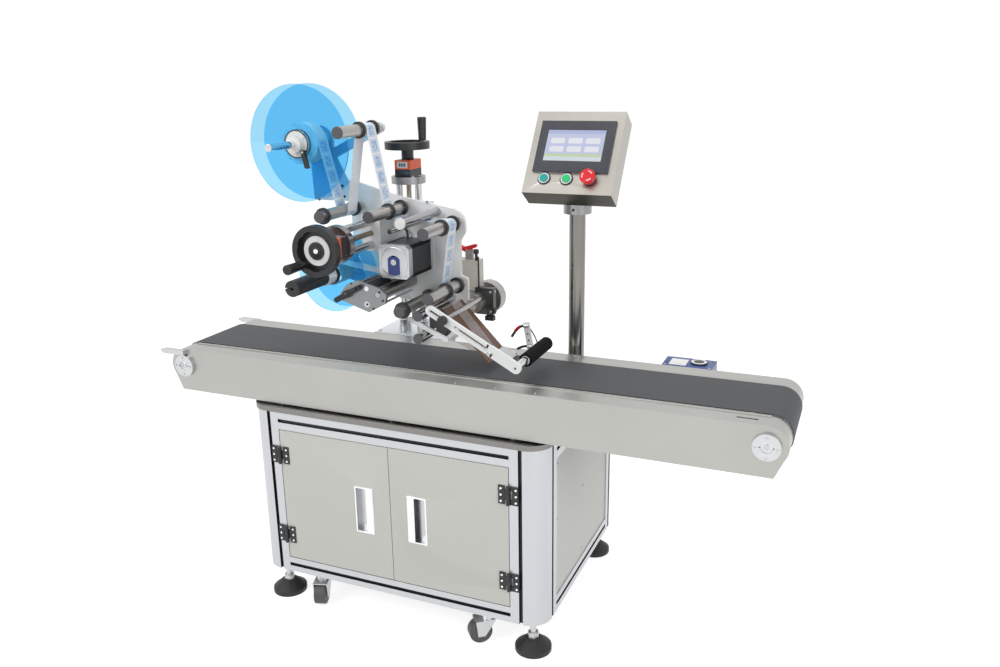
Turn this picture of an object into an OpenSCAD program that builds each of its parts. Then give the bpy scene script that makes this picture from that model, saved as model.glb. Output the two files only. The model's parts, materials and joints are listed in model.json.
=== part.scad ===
// Flat surface labelling machine: cabinet, belt conveyor, labelling head on a column, operator panel.
// X runs along the conveyor, Y goes from the front to the back, Z is up, and the floor is z = 0.

/* [Conveyor] */
// Length over the belt at its two rollers
conveyor_l = 1682; // [1500:2:1900]
// Width over the two side beams
conveyor_w = 330; // [310:2:360]
// Width of the belt
belt_w = 196; // [160:2:210]
// Height of the belt top above the floor
belt_h = 723; // [700:1:800]
// Thickness of the belt
belt_t = 2; // [1.5:0.5:3]
// Diameter of the two belt rollers
belt_roller_d = 96; // [90:2:100]
// Height of the side beams
beam_h = 120; // [110:2:130]
// Sheet thickness of the side beams
beam_t = 3; // [2:0.5:4]
// Diameter of the round bearing caps
cap_d = 62; // [56:2:70]

/* [Cabinet] */
// Width of the cabinet
cab_w = 860; // [800:10:1000]
// Depth of the cabinet
cab_d = 634; // [600:2:700]
// Height of the cabinet frame above the floor
cab_lift = 96; // [90:1:110]
// Width of each corner post
post_w = 92; // [84:2:100]
// Radius of the rounded post corner
post_round = 58; // [50:2:64]
// Height of the top rails
top_rail_h = 50; // [40:2:60]
// Height of the bottom rails
low_rail_h = 44; // [36:2:50]
// Depth of the rails
rail_d = 40; // [36:2:50]
// Width of the black slots in the profiles
slot_w = 10; // [8:1:12]
// Thickness of the tabletop
table_t = 14; // [10:1:18]
// Thickness of the fixed panels
panel_t = 4; // [3:1:6]
// Depth of the door trays
door_t = 20; // [16:1:24]
// Gap around each door
door_gap = 2; // [2:0.5:3]

/* [Column] */
// Diameter of the guide rods
rod_d = 20; // [18:1:22]
// Distance between the two rods of a guide
rod_gap = 60; // [56:2:64]
// Diameter of the threaded spindles
spindle_d = 14; // [12:1:16]
// Diameter of the round guide flanges
flange_d = 96; // [90:2:110]
// Thickness of the round guide flanges
flange_t = 20; // [12:1:22]
// Diameter of the handwheels
wheel_d = 125; // [116:1:130]
// Length of the crank grips
grip_l = 62; // [54:2:70]

/* [Labelling head] */
// Thickness of the head plate
head_t = 10; // [8:1:12]
// Width of the label web
web_w = 46; // [30:1:48]
// Thickness of the label web
web_t = 0.6; // [0.5:0.1:0.8]
// Diameter of the guide roller tubes
tube_d = 30; // [28:1:31]
// Diameter of the black collars on the guide rollers
collar_d = 42; // [38:1:43]
// Thickness of the black collars
collar_t = 9; // [7:0.5:10]
// Diameter of the unwind discs
reel_d = 302; // [290:2:310]
// Diameter of the rewind discs
rewind_d = 206; // [190:2:210]
// Thickness of the reel discs
disc_t = 4; // [3:0.5:5]
// Outer diameter of the label roll
roll_d = 108; // [100:2:150]
// Side of the square feed motor
motor_s = 86; // [80:1:88]
// Length of the feed motor
motor_l = 134; // [118:2:140]
// Thickness of the peel plate
peel_t = 4; // [3:0.5:5]
// Width of the peel plate
peel_w = 112; // [100:2:120]
// Diameter of the press roller
press_d = 34; // [30:1:36]
// Length of the press roller
press_l = 152; // [140:2:164]

/* [Operator panel] */
// Width of the panel box
panel_w = 238; // [220:2:250]
// Height of the panel face along its slope
panel_h = 236; // [220:2:250]
// Depth of the panel box
panel_d = 64; // [50:2:80]
// Slope of the panel face from upright
panel_angle = 34; // [25:1:40]
// Diameter of the panel pole
pole_d = 43; // [38:1:48]

/* [Feet and casters] */
// Diameter of the levelling feet
foot_d = 96; // [80:2:100]
// Diameter of the caster wheels
caster_d = 62; // [56:1:64]
// Width of the caster wheels
caster_w = 32; // [26:1:34]

/* [Hidden] */
$fn = 64;

// Overrun of every cut past the face it leaves
over = 1;
// Gap at which a moving piece is seated beside a fixed one
seat_gap = 0.3;
// Radial play of a shaft in its bore
run_fit = 0.05;
// How much slimmer a bar is than its round ends
bar_waist = 0.1;

// Levels and places of the conveyor
belt_rise = 3;
beam_top = belt_h - belt_rise;
beam_low = beam_top - beam_h;
belt_y = conveyor_w / 2;
roller_x = conveyor_l / 2 - belt_roller_d / 2 - belt_t;
roller_z = belt_h - belt_t - belt_roller_d / 2;
belt_front = belt_y - belt_w / 2;
belt_back = belt_y + belt_w / 2;
belt_side_gap = 3;
flange_w = belt_front - belt_side_gap;
beam_end_r = belt_roller_d / 2 + belt_t - belt_rise;
beam_end_l = 18;
beam_end_angle = 15;
beam_lip = 14;
wear_strip_w = 10;
cap_t = 9;
roller_shaft_d = 25;
shaft_sink = 2;
bed_t = 2;
bed_bar_w = 40;
bed_bar_h = 30;
bed_bars = 5;
tension_l = 70;
tension_h = 13;
tension_t = 14;
tension_out = 13;
tension_bolt_d = 8;
tension_bolt_l = 13;
motor_gap = 8;
gear_motor_inset = 359;
gear_motor_x = conveyor_l / 2 - gear_motor_inset;
gear_motor_size = [130, 80, 118];
gear_motor_drop = 4;
gear_motor_l = 128;
gear_cap_at = [89, 46];
gear_cap_d = 44;
gear_cap_t = 4;
chain_case_x = 520;
chain_case_h = 56;
chain_case_drop = 46;
sensor_post = [18, 4, 88];
sensor_inset = 30;
sensor_at = [138, conveyor_w - sensor_inset];
sensor_angle = -10;
sensor_foot = [34, 26, 5];

// Levels and places of the cabinet
mount_gap = 6;
mount_stud_d = 15;
table_top = beam_low - mount_gap;
table_low = table_top - table_t;
table_lap = 4;
cab_lead = 14;
cab_x = -142;
cab_front = -cab_lead;
cab_back = cab_front + cab_d;
cab_left = cab_x - cab_w / 2;
cab_right = cab_x + cab_w / 2;
frame_h = table_low - cab_lift;
slot_deep = 8;
post_core_s = 30;
post_core_at = 36;
post_foot_t = 8;
panel_inset = 3;
door_low = cab_lift + low_rail_h;
door_top = table_low - top_rail_h;
door_h = door_top - door_low - 2 * door_gap;
door_w = (cab_w - 2 * post_w - 3 * door_gap) / 2;
door_skin = 1.5;
hinge_h = 50;
hinge_leaf_w = 27;
hinge_leaf_t = 3;
hinge_barrel_d = 10;
hinge_pin_d = 5;
hinge_inset = 62;
hinge_y = cab_front - hinge_barrel_d / 2 - seat_gap;
hinge_x_left = cab_left + post_w + door_gap / 2;
hinge_x_right = cab_right - post_w - door_gap / 2;
hinge_z_low = door_low + hinge_inset + hinge_h / 4;
hinge_z_top = door_top - hinge_inset - hinge_h / 4;
handle_w = 52;
handle_h = 130;
handle_deep = 17;
handle_side = 79;
handle_lip = 2;
handle_flap_w = 19;

// Mounting plate in the cabinet, and its modules as [size, place across, place up]
gear_margin = [80, 60];
gear_plate_w = cab_w - 2 * post_w - gear_margin[0];
gear_plate_h = door_h - gear_margin[1];
controller_inset = 176;
duct_h = 30;
duct_over = 12;
duct_down = 54;
gear_plate_t = 3;
gear_spacer_w = 20;
gear_spacer_in = 10;
supply_module = [[159, 38, 97], 40, 60];
driver_module = [[86, 60, 150], 260, 50];
controller_module = [[130, 76, 90], gear_plate_w - controller_inset, 60];
wire_duct = [[gear_plate_w + duct_over, 40, duct_h], 20, gear_plate_h - duct_down];
gear_modules = [supply_module, driver_module, controller_module, wire_duct];

// Places of the column, the cross guide and the operator panel
column_x = -254;
column_behind = 38;
column_y = conveyor_w + column_behind;
column_rise = 455;
column_top = belt_h + column_rise;
base_plate_w = 240;
base_plate_d = 150;
base_plate_t = 12;
boss_d = 38;
boss_h = 42;
pedestal_w = 180;
pedestal_d = 110;
carriage_w = 124;
carriage_d = 62;
carriage_h = 104;
cross_z = 330;
cross_front = -26;
counter_w = 48;
counter_l = 66;
counter_h = 25;
counter_body_h = 20;
window_t = 1;
neck_d = 34;
wheel_gap = 84;
cross_wheel_gap = 77;
rim_t = 20;
rim_w = 13;
dish_t = 5;
dial_d = 72;
dial_t = 9;
wheel_boss_d = 43;
wheel_boss_t = 12;
crank_r = 48;
crank_d = 25;
crank_pin_d = 8;
crank_neck_l = 4;
cross_crank_angle = 134;
lift_spindle_l = column_top - beam_top - boss_h;
cross_spindle_l = column_y - carriage_d / 2 - cross_front - seat_gap;
pole_x = 236;
pole_behind = 55;
pole_y = conveyor_w + pole_behind;
pole_foot_d = 90;
pole_foot_t = 10;
pole_rise = 370;
pole_top = belt_h + pole_rise;
pole_pin_d = 22;
pole_collar_d = 74;
pole_collar_h = 26;
pole_neck_d = 61;
pole_neck_h = 64;
panel_face_behind = 39;
panel_face = [232, conveyor_w + panel_face_behind];
panel_face_z = 541;
panel_low_share = 0.56;
bezel_size = [200, 6, 147];
screen_size = [154, 1, 88];
screen_up = 2;
button_z = -91;
button_x = [-65, -5, 55];
button_d = 22;
button_ring_d = 29;
button_ring_t = 4;
button_out = 3;
button_in = 14;
button_well = 20;
mushroom_d = 40;
mushroom_t = 14;
mushroom_gap = 6;

// Places on the labelling head: across from the middle and above the belt top
head_y = 215;
head_back = head_y + head_t;
web_y = 154;
unwind_at = [-442, 559];
rewind_at = [-366, 218];
roller_1_at = [-325, 388];
roller_2_at = [-256, 596];
roller_3_at = [-183, 394];
roller_4_at = [-34, 360];
roller_5_at = [-27, 199];
roller_6_at = [-109, 161];
polished_rod_at = [-92, 384];
small_rod_at = [-128, 361];
lower_rod_1_at = [-57, 155];
lower_rod_2_at = [-58, 97];
motor_at = [-150, 273];
nip_drive_at = [-174, 197];
nip_pinch_at = [-205, 211];
peel_top_at = [-28, 154];
peel_low_at = [97, 25];
press_rod_at = [22, 157];
press_at = [208, 56];

// Head plate: its outline, the rounded corner at the upper right and the lobe of the rewind shaft
plate_corner_r = 40;
plate_corner_offset = [-18, -6];
plate_corner = roller_4_at + plate_corner_offset;
plate_corner_angle = 14;
plate_lobe_r = 34;
plate_low = 73;
plate_upper_edge = [[-350, 458], [-318, 451], [-208, 421]];
plate_right_edge = [[-27, 312], [-27, 219], [-8, 212], [-8, 112], [-44, plate_low]];
plate_lower_edge = [[-104, plate_low], [-130, 128], [-240, 150]];
plate_left_edge = [[-350, 300]];
slide_block_front = 150;
slide_block_w = 56;
slide_block_h = 96;
bracket_t = 8;
bracket_boss_d = 60;
bracket_bar_w = 26;
bracket_bar_offset = [22, -42];
bracket_bar_from = unwind_at + bracket_bar_offset;
bracket_foot = [[-37, 0], [-30, -160], [107, -160], [51, -50], [37, 0]];

// Rollers and rods
guide_front = 20;
guide_back = head_y - 6;
guide_rod_d = 12;
guide_cap_t = 4;
guide_blind_l = 12;
collar_gap = 56;
near_collar_y = 36;
web_collars = [web_y - collar_gap / 2 - collar_t, web_y + collar_gap / 2];
end_collars = [near_collar_y, web_y + collar_gap / 2];
polished_d = 24;
polished_rim = 2;
polished_rim_t = 5;
small_rod_d = 12;
small_rod_in = 8;
lower_rod_d = 26;
nip_drive_d = 35;
nip_pinch_d = 2 * (norm(nip_drive_at - nip_pinch_at) - web_t - 2 * seat_gap - run_fit) - nip_drive_d;
nip_plate_front = 30;
nip_plate_t = 9;
nip_side_gap = 1;
nip_shaft_d = 14;
nip_shaft_out = 14;
nip_outline = [[-262, 218], [-229, 232], [-167, 215], [-146, 199], [-152, 176], [-200, 150], [-279,
    175], [-283, 193]];
nip_tie_d = 12;
nip_tie_at = [-244, 215];
nip_guard_d = 6;
nip_guard_at = [-176, 168];
nip_lever_at = [-258, 195];
nip_lever_ends = [[-288, 178], [-224, 213]];
nip_lever_hub_d = 21;
lever_t = 12;
lever_pin_d = 8;
lever_w = 14;

// Feed motor
motor_flange_t = 8;
motor_bell_t = 20;
motor_cut = 9;
motor_step = 2;

// Reels
reel_front = web_y - collar_gap / 2 - disc_t;
reel_back = web_y + collar_gap / 2 + disc_t;
unwind_shaft_d = 20;
unwind_front = -6;
hub_d = 74;
hub_t = 8;
hub_collar_d = 46;
hub_collar_t = 16;
hub_front = reel_front - hub_t;
hub_pin_d = 6;
hub_pin_l = 12;
hub_lever_at = [24, -20];
hub_lever_end = [32, -56];
hub_lever_w = 11;
core_d = 76;
core_rewind_d = 60;
rewind_shaft_d = 16;
mandrel_d = 42;
mandrel_front = -58;
mandrel_collar_d = 48;
mandrel_collar_t = 33;
mandrel_ring_d = 54;
mandrel_ring_t = 10;
mandrel_bore_d = 8;
mandrel_slot_w = 3;

// Peel plate, guide block and the slim bar below it
peel_bar_w = 12;
guide_block = [[-44, 104], [-44, 148], [-32, 158], [10, 120], [-12, 90]];
guide_block_front = 60;
slim_bar = [[-96, 135], [3, 92]];
slim_bar_w = 12;
slim_bar_t = 6;

// Press arm, its rod and its roller
arm_t = 8;
arm_w = 25;
arm_front = 6;
arm_tip_w = 28;
arm_end_l = 41;
arm_lap_share = 0.64;
arm_slot_w = 8;
arm_slot_shares = [0.16, 0.60];
press_axle_d = 12;
press_rod_d = 12;
press_front = 72;
press_bush_d = 20;
press_knob_d = 22;
press_knob_t = 14;
press_stub_at = [176, 68];
press_stub_l = 68;
clamp_size = [52, 20, 72];
clamp_at = [-6, 256, 107];

// Arm, drum and sheet box behind the head plate, and the toggle on top of the box
drum_at = [5, 140];
drum_d = 90;
drum_t = 36;
drum_front = 300;
back_arm_at = [[-44, 147], [0, 141]];
back_arm_w = 50;
sheet_box = [[-60, 262, 168], [0, drum_front, 250]];
toggle_at = [-28, 268];
toggle_end = [-82, 290];
toggle_w = 11;
toggle_hub_d = 18;
toggle_y = 278;
toggle_t = 12;
toggle_plate = [22, 8];

// Places of the feet and the casters
foot_inset = 48;
foot_rim_h = 12;
foot_cone_h = 24;
foot_neck_d = 34;
foot_nut_d = 30;
foot_nut_h = 14;
foot_stem_d = 16;
caster_inset = 172;
caster_y = 26;
rear_caster_y = cab_back + cab_front - caster_y;
caster_clear = 4;
caster_z = caster_clear + caster_d / 2;
caster_trail = 24;
caster_axle_d = 8;
caster_plate_s = 62;
caster_plate_t = 3;
caster_race_h = 8;
caster_race_d = 40;
fork_t = 2.5;
fork_gap = 2;
fork_w = 30;
fork_foot_w = 20;
left_caster_angle = -72;
right_caster_angle = -140;
rear_caster_angle = 90;

// The origin lies under the middle of the whole outline
left_tip_x = -conveyor_l / 2 - tension_out - tension_bolt_l;
mid_x = (left_tip_x + conveyor_l / 2) / 2;
grip_tip_y = cross_front - cross_wheel_gap - rim_t / 2 - crank_neck_l - grip_l;
mid_y = (grip_tip_y + rear_caster_y + caster_trail + caster_d / 2) / 2;

// Label web: for each stop [place, radius, turn], where turn 1 runs counterclockwise and -1 clockwise
web_stops = [
    [unwind_at, roll_d / 2, -1],
    [roller_1_at, tube_d / 2, 1],
    [roller_2_at, tube_d / 2, -1],
    [roller_3_at, tube_d / 2, 1],
    [polished_rod_at, polished_d / 2, 1],
    [roller_4_at, tube_d / 2, -1],
    [roller_5_at, tube_d / 2, 1],
    [peel_low_at, peel_t / 2, -1],
    [lower_rod_2_at, lower_rod_d / 2, -1],
    [nip_drive_at, nip_drive_d / 2, -1],
    [nip_pinch_at, nip_pinch_d / 2, 1],
    [rewind_at, core_rewind_d / 2, 1]];
arc_steps = 9;

// Helpers
module centred() translate([-mid_x, -mid_y, 0]) children();
module at(place) translate([place[0], 0, belt_h + place[1]]) children();
module rod_y(d, from, to) translate([0, from, 0]) rotate([-90, 0, 0]) cylinder(d = d, h = to - from);
module rod_x(d, from, to) translate([from, 0, 0]) rotate([0, 90, 0]) cylinder(d = d, h = to - from);
module plate_y(from, to) translate([0, to, 0]) rotate([90, 0, 0]) linear_extrude(to - from) children();
module tube_y(d, bore, from, to) difference() {
    rod_y(d, from, to);
    rod_y(bore, from - over, to + over);
}
module box(low, high) translate(low) cube(high - low);

// Straight bar between two places with round ends, drawn flat; its sides cross the end circles
module flat_bar(a, b, w) {
    run = b - a;
    side_w = w - bar_waist;
    translate(a) circle(d = w);
    translate(b) circle(d = w);
    translate(a) rotate(atan2(run[1], run[0])) translate([0, -side_w / 2]) square([norm(run), side_w]);
}

// Corner post: a square profile with one round corner and two dark slots, hollow above its foot
module post_profile() difference() {
    intersection() {
        square(post_w);
        union() {
            translate([post_round, 0]) square(post_w);
            translate([0, post_round]) square(post_w);
            translate([post_round, post_round]) circle(r = post_round);
        }
    }
    translate([post_round, -over]) square([slot_w, slot_deep + over]);
    translate([-over, post_round]) square([slot_deep + over, slot_w]);
}

module post(x, y, turn_x, turn_y) {
    translate([x, y, cab_lift]) mirror([turn_x, 0, 0]) mirror([0, turn_y, 0]) difference() {
        linear_extrude(frame_h) post_profile();
        translate([post_core_at, post_core_at, post_foot_t]) cube([post_core_s, post_core_s, frame_h]);
    }
}

// Rails with a dark slot along the outer face; outward is -1 where that face looks to the low side
module rail_x(z, h, front, outward) difference() {
    slot_y = outward < 0 ? front - over : front + rail_d - slot_deep;
    slot_z = z + (h - slot_w) / 2;
    box([cab_left + post_w, front, z], [cab_right - post_w, front + rail_d, z + h]);
    box([cab_left + post_w - over, slot_y, slot_z],
        [cab_right - post_w + over, slot_y + slot_deep + over, slot_z + slot_w]);
}

module rail_y(x, z, h, outward) difference() {
    slot_x = outward < 0 ? x - over : x + rail_d - slot_deep;
    slot_z = z + (h - slot_w) / 2;
    box([x, cab_front + post_w, z], [x + rail_d, cab_back - post_w, z + h]);
    box([slot_x, cab_front + post_w - over, slot_z],
        [slot_x + slot_deep + over, cab_back - post_w + over, slot_z + slot_w]);
}

// Fixed half of a door hinge with its pin; side is -1 on the left and 1 on the right
module hinge_fixed(x, z, side) {
    knuckle_h = hinge_h / 4;
    end_x = x + side * hinge_leaf_w;
    leaf_x = x + side * hinge_barrel_d;
    box([min(leaf_x, end_x), cab_front - hinge_leaf_t, z - hinge_h / 2],
        [max(leaf_x, end_x), cab_front, z + hinge_h / 2]);
    for (end = [-1, 1]) translate([0, 0, z + end * (hinge_h - knuckle_h) / 2 - knuckle_h / 2]) {
        translate([x, hinge_y, 0]) cylinder(d = hinge_barrel_d, h = knuckle_h);
        box([min(x, leaf_x), cab_front - hinge_leaf_t, 0], [max(x, leaf_x), cab_front, knuckle_h]);
    }
    translate([x, hinge_y, z - hinge_h / 2]) cylinder(d = hinge_pin_d, h = hinge_h);
}

// Moving half: the leaf on the door and the middle knuckle, bored for the pin
module hinge_moving(x, z, side) {
    knuckle_h = hinge_h / 2 - 2 * seat_gap;
    end_x = x - side * hinge_leaf_w;
    leaf_x = x - side * hinge_barrel_d;
    root_x = x - side * seat_gap;
    box([min(leaf_x, end_x), cab_front - hinge_leaf_t, z - hinge_h / 2],
        [max(leaf_x, end_x), cab_front, z + hinge_h / 2]);
    difference() {
        union() {
            box([min(root_x, leaf_x), cab_front - hinge_leaf_t, z - knuckle_h / 2],
                [max(root_x, leaf_x), cab_front, z + knuckle_h / 2]);
            translate([x, hinge_y, z - knuckle_h / 2]) cylinder(d = hinge_barrel_d, h = knuckle_h);
        }
        translate([x, hinge_y, z - hinge_h]) cylinder(d = hinge_pin_d + 2 * run_fit, h = 2 * hinge_h);
    }
}

module cabinet_frame() color("gainsboro") centred() {
    post(cab_left, cab_front, 0, 0);
    post(cab_right, cab_front, 1, 0);
    post(cab_left, cab_back, 0, 1);
    post(cab_right, cab_back, 1, 1);
    for (front = [[cab_front, -1], [cab_back - rail_d, 1]]) {
        rail_x(cab_lift, low_rail_h, front[0], front[1]);
        rail_x(table_low - top_rail_h, top_rail_h, front[0], front[1]);
    }
    for (side = [[cab_left, -1], [cab_right - rail_d, 1]]) {
        rail_y(side[0], cab_lift, low_rail_h, side[1]);
        rail_y(side[0], table_low - top_rail_h, top_rail_h, side[1]);
    }
    for (z = [hinge_z_low, hinge_z_top]) {
        hinge_fixed(hinge_x_left, z, -1);
        hinge_fixed(hinge_x_right, z, 1);
    }
    for (x = [cab_left + caster_inset, cab_right - caster_inset]) {
        caster_plate(x, caster_y);
        caster_plate(x, rear_caster_y);
        translate([x, rear_caster_y, 0]) rotate(rear_caster_angle) caster_fork();
    }
}

module side_panels() color("#cbcec6") centred() {
    floor_z = cab_lift + low_rail_h / 4;
    for (x = [cab_left + panel_inset, cab_right - panel_inset - panel_t])
        box([x, cab_front + post_w, door_low], [x + panel_t, cab_back - post_w, door_top]);
    box([cab_left + post_w, cab_back - panel_inset - panel_t, door_low],
        [cab_right - post_w, cab_back - panel_inset, door_top]);
    box([cab_left + rail_d, cab_front + post_w, floor_z], [cab_right - rail_d, cab_back - post_w,
        floor_z + panel_t]);
    box([cab_left + post_w, cab_front + rail_d, floor_z], [cab_right - post_w, cab_back - rail_d,
        floor_z + panel_t]);
}

// Steel top with rounded corners, and the hexagon studs that carry the conveyor
module tabletop() color("#c9cac8") centred() {
    r = post_round + table_lap;
    low = [cab_left - table_lap, cab_front - table_lap];
    high = [cab_right + table_lap, cab_back + table_lap];
    translate([0, 0, table_low]) linear_extrude(table_t) {
        translate([low[0] + r, low[1]]) square([high[0] - low[0] - 2 * r, high[1] - low[1]]);
        translate([low[0], low[1] + r]) square([high[0] - low[0], high[1] - low[1] - 2 * r]);
        for (x = [low[0] + r, high[0] - r], y = [low[1] + r, high[1] - r]) translate([x, y]) circle(r = r);
    }
    for (x = [cab_left + post_w, cab_x, cab_right - post_w], y = [beam_t + beam_lip,
        conveyor_w - beam_t - beam_lip])
        translate([x, y, table_top]) cylinder(d = mount_stud_d, h = mount_gap, $fn = 6);
}

// Side beam of the conveyor: an upright plate, its top flange, a curled end and a wear strip
module beam_outline() {
    rise = beam_end_r * sin(beam_end_angle);
    reach = beam_end_r * cos(beam_end_angle);
    translate([-roller_x, beam_low]) square([2 * roller_x, beam_h]);
    for (side = [-1, 1]) {
        translate([side * roller_x, roller_z]) circle(r = beam_end_r);
        polygon([[side * (roller_x - over), beam_low], [side * (roller_x + beam_end_l), beam_low],
            [side * (roller_x + reach), roller_z - rise], [side * (roller_x - over), roller_z]]);
    }
}

// Curled end of a beam: the part of a ring outside the roller axis and above the sloping edge
module beam_curl(side) {
    low_cut = beam_end_r * sin(beam_end_angle);
    difference() {
        tube_y(2 * beam_end_r, 2 * (beam_end_r - beam_t), beam_t, flange_w);
        translate([side < 0 ? 0 : -2 * beam_end_r, 0, -2 * beam_end_r])
            cube([2 * beam_end_r, conveyor_w, 4 * beam_end_r]);
        translate([-2 * beam_end_r, 0, -2 * beam_end_r])
            cube([4 * beam_end_r, conveyor_w, 2 * beam_end_r - low_cut]);
    }
}

module side_beam() {
    difference() {
        plate_y(0, beam_t) beam_outline();
        for (side = [-1, 1]) translate([side * roller_x, 0, roller_z])
            rod_y(roller_shaft_d + beam_t, -over, beam_t + over);
    }
    box([-roller_x, beam_t, beam_top - beam_t], [roller_x, flange_w, beam_top]);
    box([-roller_x, beam_t, beam_low], [roller_x, beam_t + beam_lip, beam_low + beam_t]);
    box([-roller_x, flange_w - wear_strip_w, beam_top], [roller_x, flange_w, beam_top + belt_rise / 2]);
    for (side = [-1, 1]) translate([side * roller_x, 0, roller_z]) beam_curl(side);
}

module front_beam() color("#c8c6c0") centred() side_beam();

module back_beam() color("#c8c6c0") centred() translate([0, conveyor_w, 0]) mirror([0, 1, 0]) side_beam();

// Plate under the upper run of the belt, on bars between the two beams
module slider_bed() color("#b9bab7") centred() {
    bed_half = roller_x - belt_roller_d / 2 - bed_t;
    bed_z = belt_h - belt_t - seat_gap - bed_t;
    pitch = 2 * bed_half / bed_bars;
    box([-bed_half, belt_front, bed_z], [bed_half, belt_back, bed_z + bed_t]);
    for (k = [0 : bed_bars - 1]) translate([(k + 1 / 2) * pitch - bed_half - bed_bar_w / 2, 0, 0]) {
        box([0, beam_t, bed_z - bed_bar_h], [bed_bar_w, conveyor_w - beam_t, bed_z - bed_t]);
        box([0, belt_front, bed_z - bed_t], [bed_bar_w, belt_back, bed_z]);
    }
}

module conveyor_belt() color("#4a4d52") centred() {
    r = belt_roller_d / 2;
    translate([0, belt_back, 0]) rotate([90, 0, 0]) linear_extrude(belt_w) difference() {
        union() {
            for (side = [-1, 1]) translate([side * roller_x, roller_z]) circle(r = r + belt_t);
            translate([-roller_x, roller_z - r - belt_t]) square([2 * roller_x, 2 * (r + belt_t)]);
        }
        for (side = [-1, 1]) translate([side * roller_x, roller_z]) circle(r = r);
        translate([-roller_x, roller_z - r]) square([2 * roller_x, 2 * r]);
    }
}

// Round bearing cap with four screws and two pin holes, its outer face towards the front
module bearing_cap() {
    screw_d = 7;
    screw_r = cap_d / 2 - screw_d;
    screw_deep = 2;
    pin_d = 4;
    pin_share = 0.62;
    difference() {
        rod_y(cap_d, -cap_t, 0);
        rod_y(roller_shaft_d + 2 * run_fit, -cap_t - over, over);
        for (turn = [0 : 90 : 270]) rotate([0, turn, 0]) translate([screw_r, 0, 0])
            rod_y(screw_d, -cap_t - over, -screw_deep);
        for (side = [-1, 1]) translate([side * screw_r * pin_share, 0, 0])
            rod_y(pin_d, -cap_t - over, -cap_t / 2);
    }
    for (turn = [0 : 90 : 270]) rotate([0, turn, 0]) translate([screw_r, 0, 0])
        rod_y(screw_d, -cap_t + screw_deep, -screw_deep);
}

// Bearing caps of the two belt rollers, and the belt tension blocks with their bolts at the left end
module end_bearings() color("#a9abad") centred() {
    block_x = -conveyor_l / 2 - tension_out;
    block_z = roller_z + cap_d / 2 + belt_t;
    for (side = [-1, 1]) translate([side * roller_x, 0, roller_z]) {
        bearing_cap();
        translate([0, conveyor_w, 0]) mirror([0, 1, 0]) bearing_cap();
    }
    for (y = [-tension_t, conveyor_w]) translate([block_x, y, block_z]) {
        cube([tension_l, tension_t, tension_h]);
        translate([0, tension_t / 2, tension_h / 2]) rod_x(tension_bolt_d, -tension_bolt_l, 0);
    }
}

// Gear motor behind the back beam: gearbox with a round cap, the motor below it and the chain case
module conveyor_motor() color("#27458f") centred() {
    low = [gear_motor_x, conveyor_w + motor_gap, beam_top - gear_motor_drop - gear_motor_size[2]];
    case_top = roller_z - chain_case_drop;
    translate(low) {
        cube(gear_motor_size);
        translate([gear_cap_at[0], gear_cap_at[1], gear_motor_size[2]])
            cylinder(d = gear_cap_d, h = gear_cap_t);
        translate([gear_motor_size[0] / 2, gear_motor_size[1] / 2, -gear_motor_l])
            cylinder(d = gear_motor_size[1], h = gear_motor_l);
    }
    box([chain_case_x, conveyor_w, case_top - chain_case_h],
        [gear_motor_x + gear_motor_size[0], conveyor_w + motor_gap, case_top]);
}

// Product sensor bracket: a foot on the back beam and a leaning post
module product_sensor() color("#d7dadc") centred() translate([sensor_at[0], sensor_at[1], beam_top]) {
    box([-sensor_foot[0] / 2, -sensor_post[1], 0], [sensor_foot[0] / 2,
        sensor_foot[1] - sensor_post[1], sensor_foot[2]]);
    rotate([0, sensor_angle, 0]) box([-sensor_post[0] / 2, -sensor_post[1], sensor_foot[2] / 2],
        [sensor_post[0] / 2, 0, sensor_post[2]]);
}

module column_base() color("#d8d9d8") centred() {
    plate_low = beam_top - base_plate_t;
    y0 = conveyor_w + mount_gap;
    box([column_x - base_plate_w / 2, y0, plate_low], [column_x + base_plate_w / 2, y0 + base_plate_d,
        beam_top]);
    box([column_x - pedestal_w / 2, y0 + mount_gap, table_top],
        [column_x + pedestal_w / 2, y0 + mount_gap + pedestal_d, plate_low]);
    for (side = [-1, 1]) translate([column_x + side * rod_gap / 2, column_y, beam_top]) difference() {
        cylinder(d = boss_d, h = boss_h);
        translate([0, 0, -over]) cylinder(d = rod_d + 2 * run_fit, h = boss_h + 2 * over);
    }
}

// Top of a guide, drawn upwards from the outer face of its flange: flange, counter body and counter
module guide_head() {
    difference() {
        translate([0, 0, -flange_t]) cylinder(d = flange_d, h = flange_t);
        translate([0, 0, -flange_t - over]) cylinder(d = spindle_d + 2 * seat_gap, h = flange_t + 2 * over);
    }
    difference() {
        translate([-counter_w / 2, -counter_l / 2, 0]) cube([counter_w, counter_l, counter_body_h]);
        translate([0, 0, -over]) cylinder(d = spindle_d + 2 * seat_gap, h = counter_body_h + 2 * over);
    }
    difference() {
        translate([-counter_w / 2, -counter_l / 2, counter_body_h]) cube([counter_w, counter_l, counter_h]);
        translate([0, 0, counter_body_h - over])
            cylinder(d = spindle_d + 2 * seat_gap, h = counter_h + 2 * over);
        translate([-counter_w / 4, -counter_l / 2 - window_t, counter_body_h + counter_h / 4])
            cube([counter_w / 2, 2 * window_t, counter_h / 2]);
    }
}

module lift_guide() color("#b9bcbf") centred() translate([column_x, column_y, column_top]) {
    guide_head();
    rod_l = column_top - flange_t - beam_top;
    for (side = [-1, 1]) translate([side * rod_gap / 2, 0, -flange_t - rod_l])
        cylinder(d = rod_d, h = rod_l);
}

module lift_carriage() color("#c4c6c8") centred() translate([column_x, column_y, belt_h + cross_z])
    difference() {
    cube([carriage_w, carriage_d, carriage_h], center = true);
    for (side = [-1, 1]) translate([side * rod_gap / 2, 0, -carriage_h])
        cylinder(d = rod_d + 2 * run_fit, h = 2 * carriage_h);
    translate([0, 0, -carriage_h]) cylinder(d = spindle_d + 2 * seat_gap, h = 2 * carriage_h);
}

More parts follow.
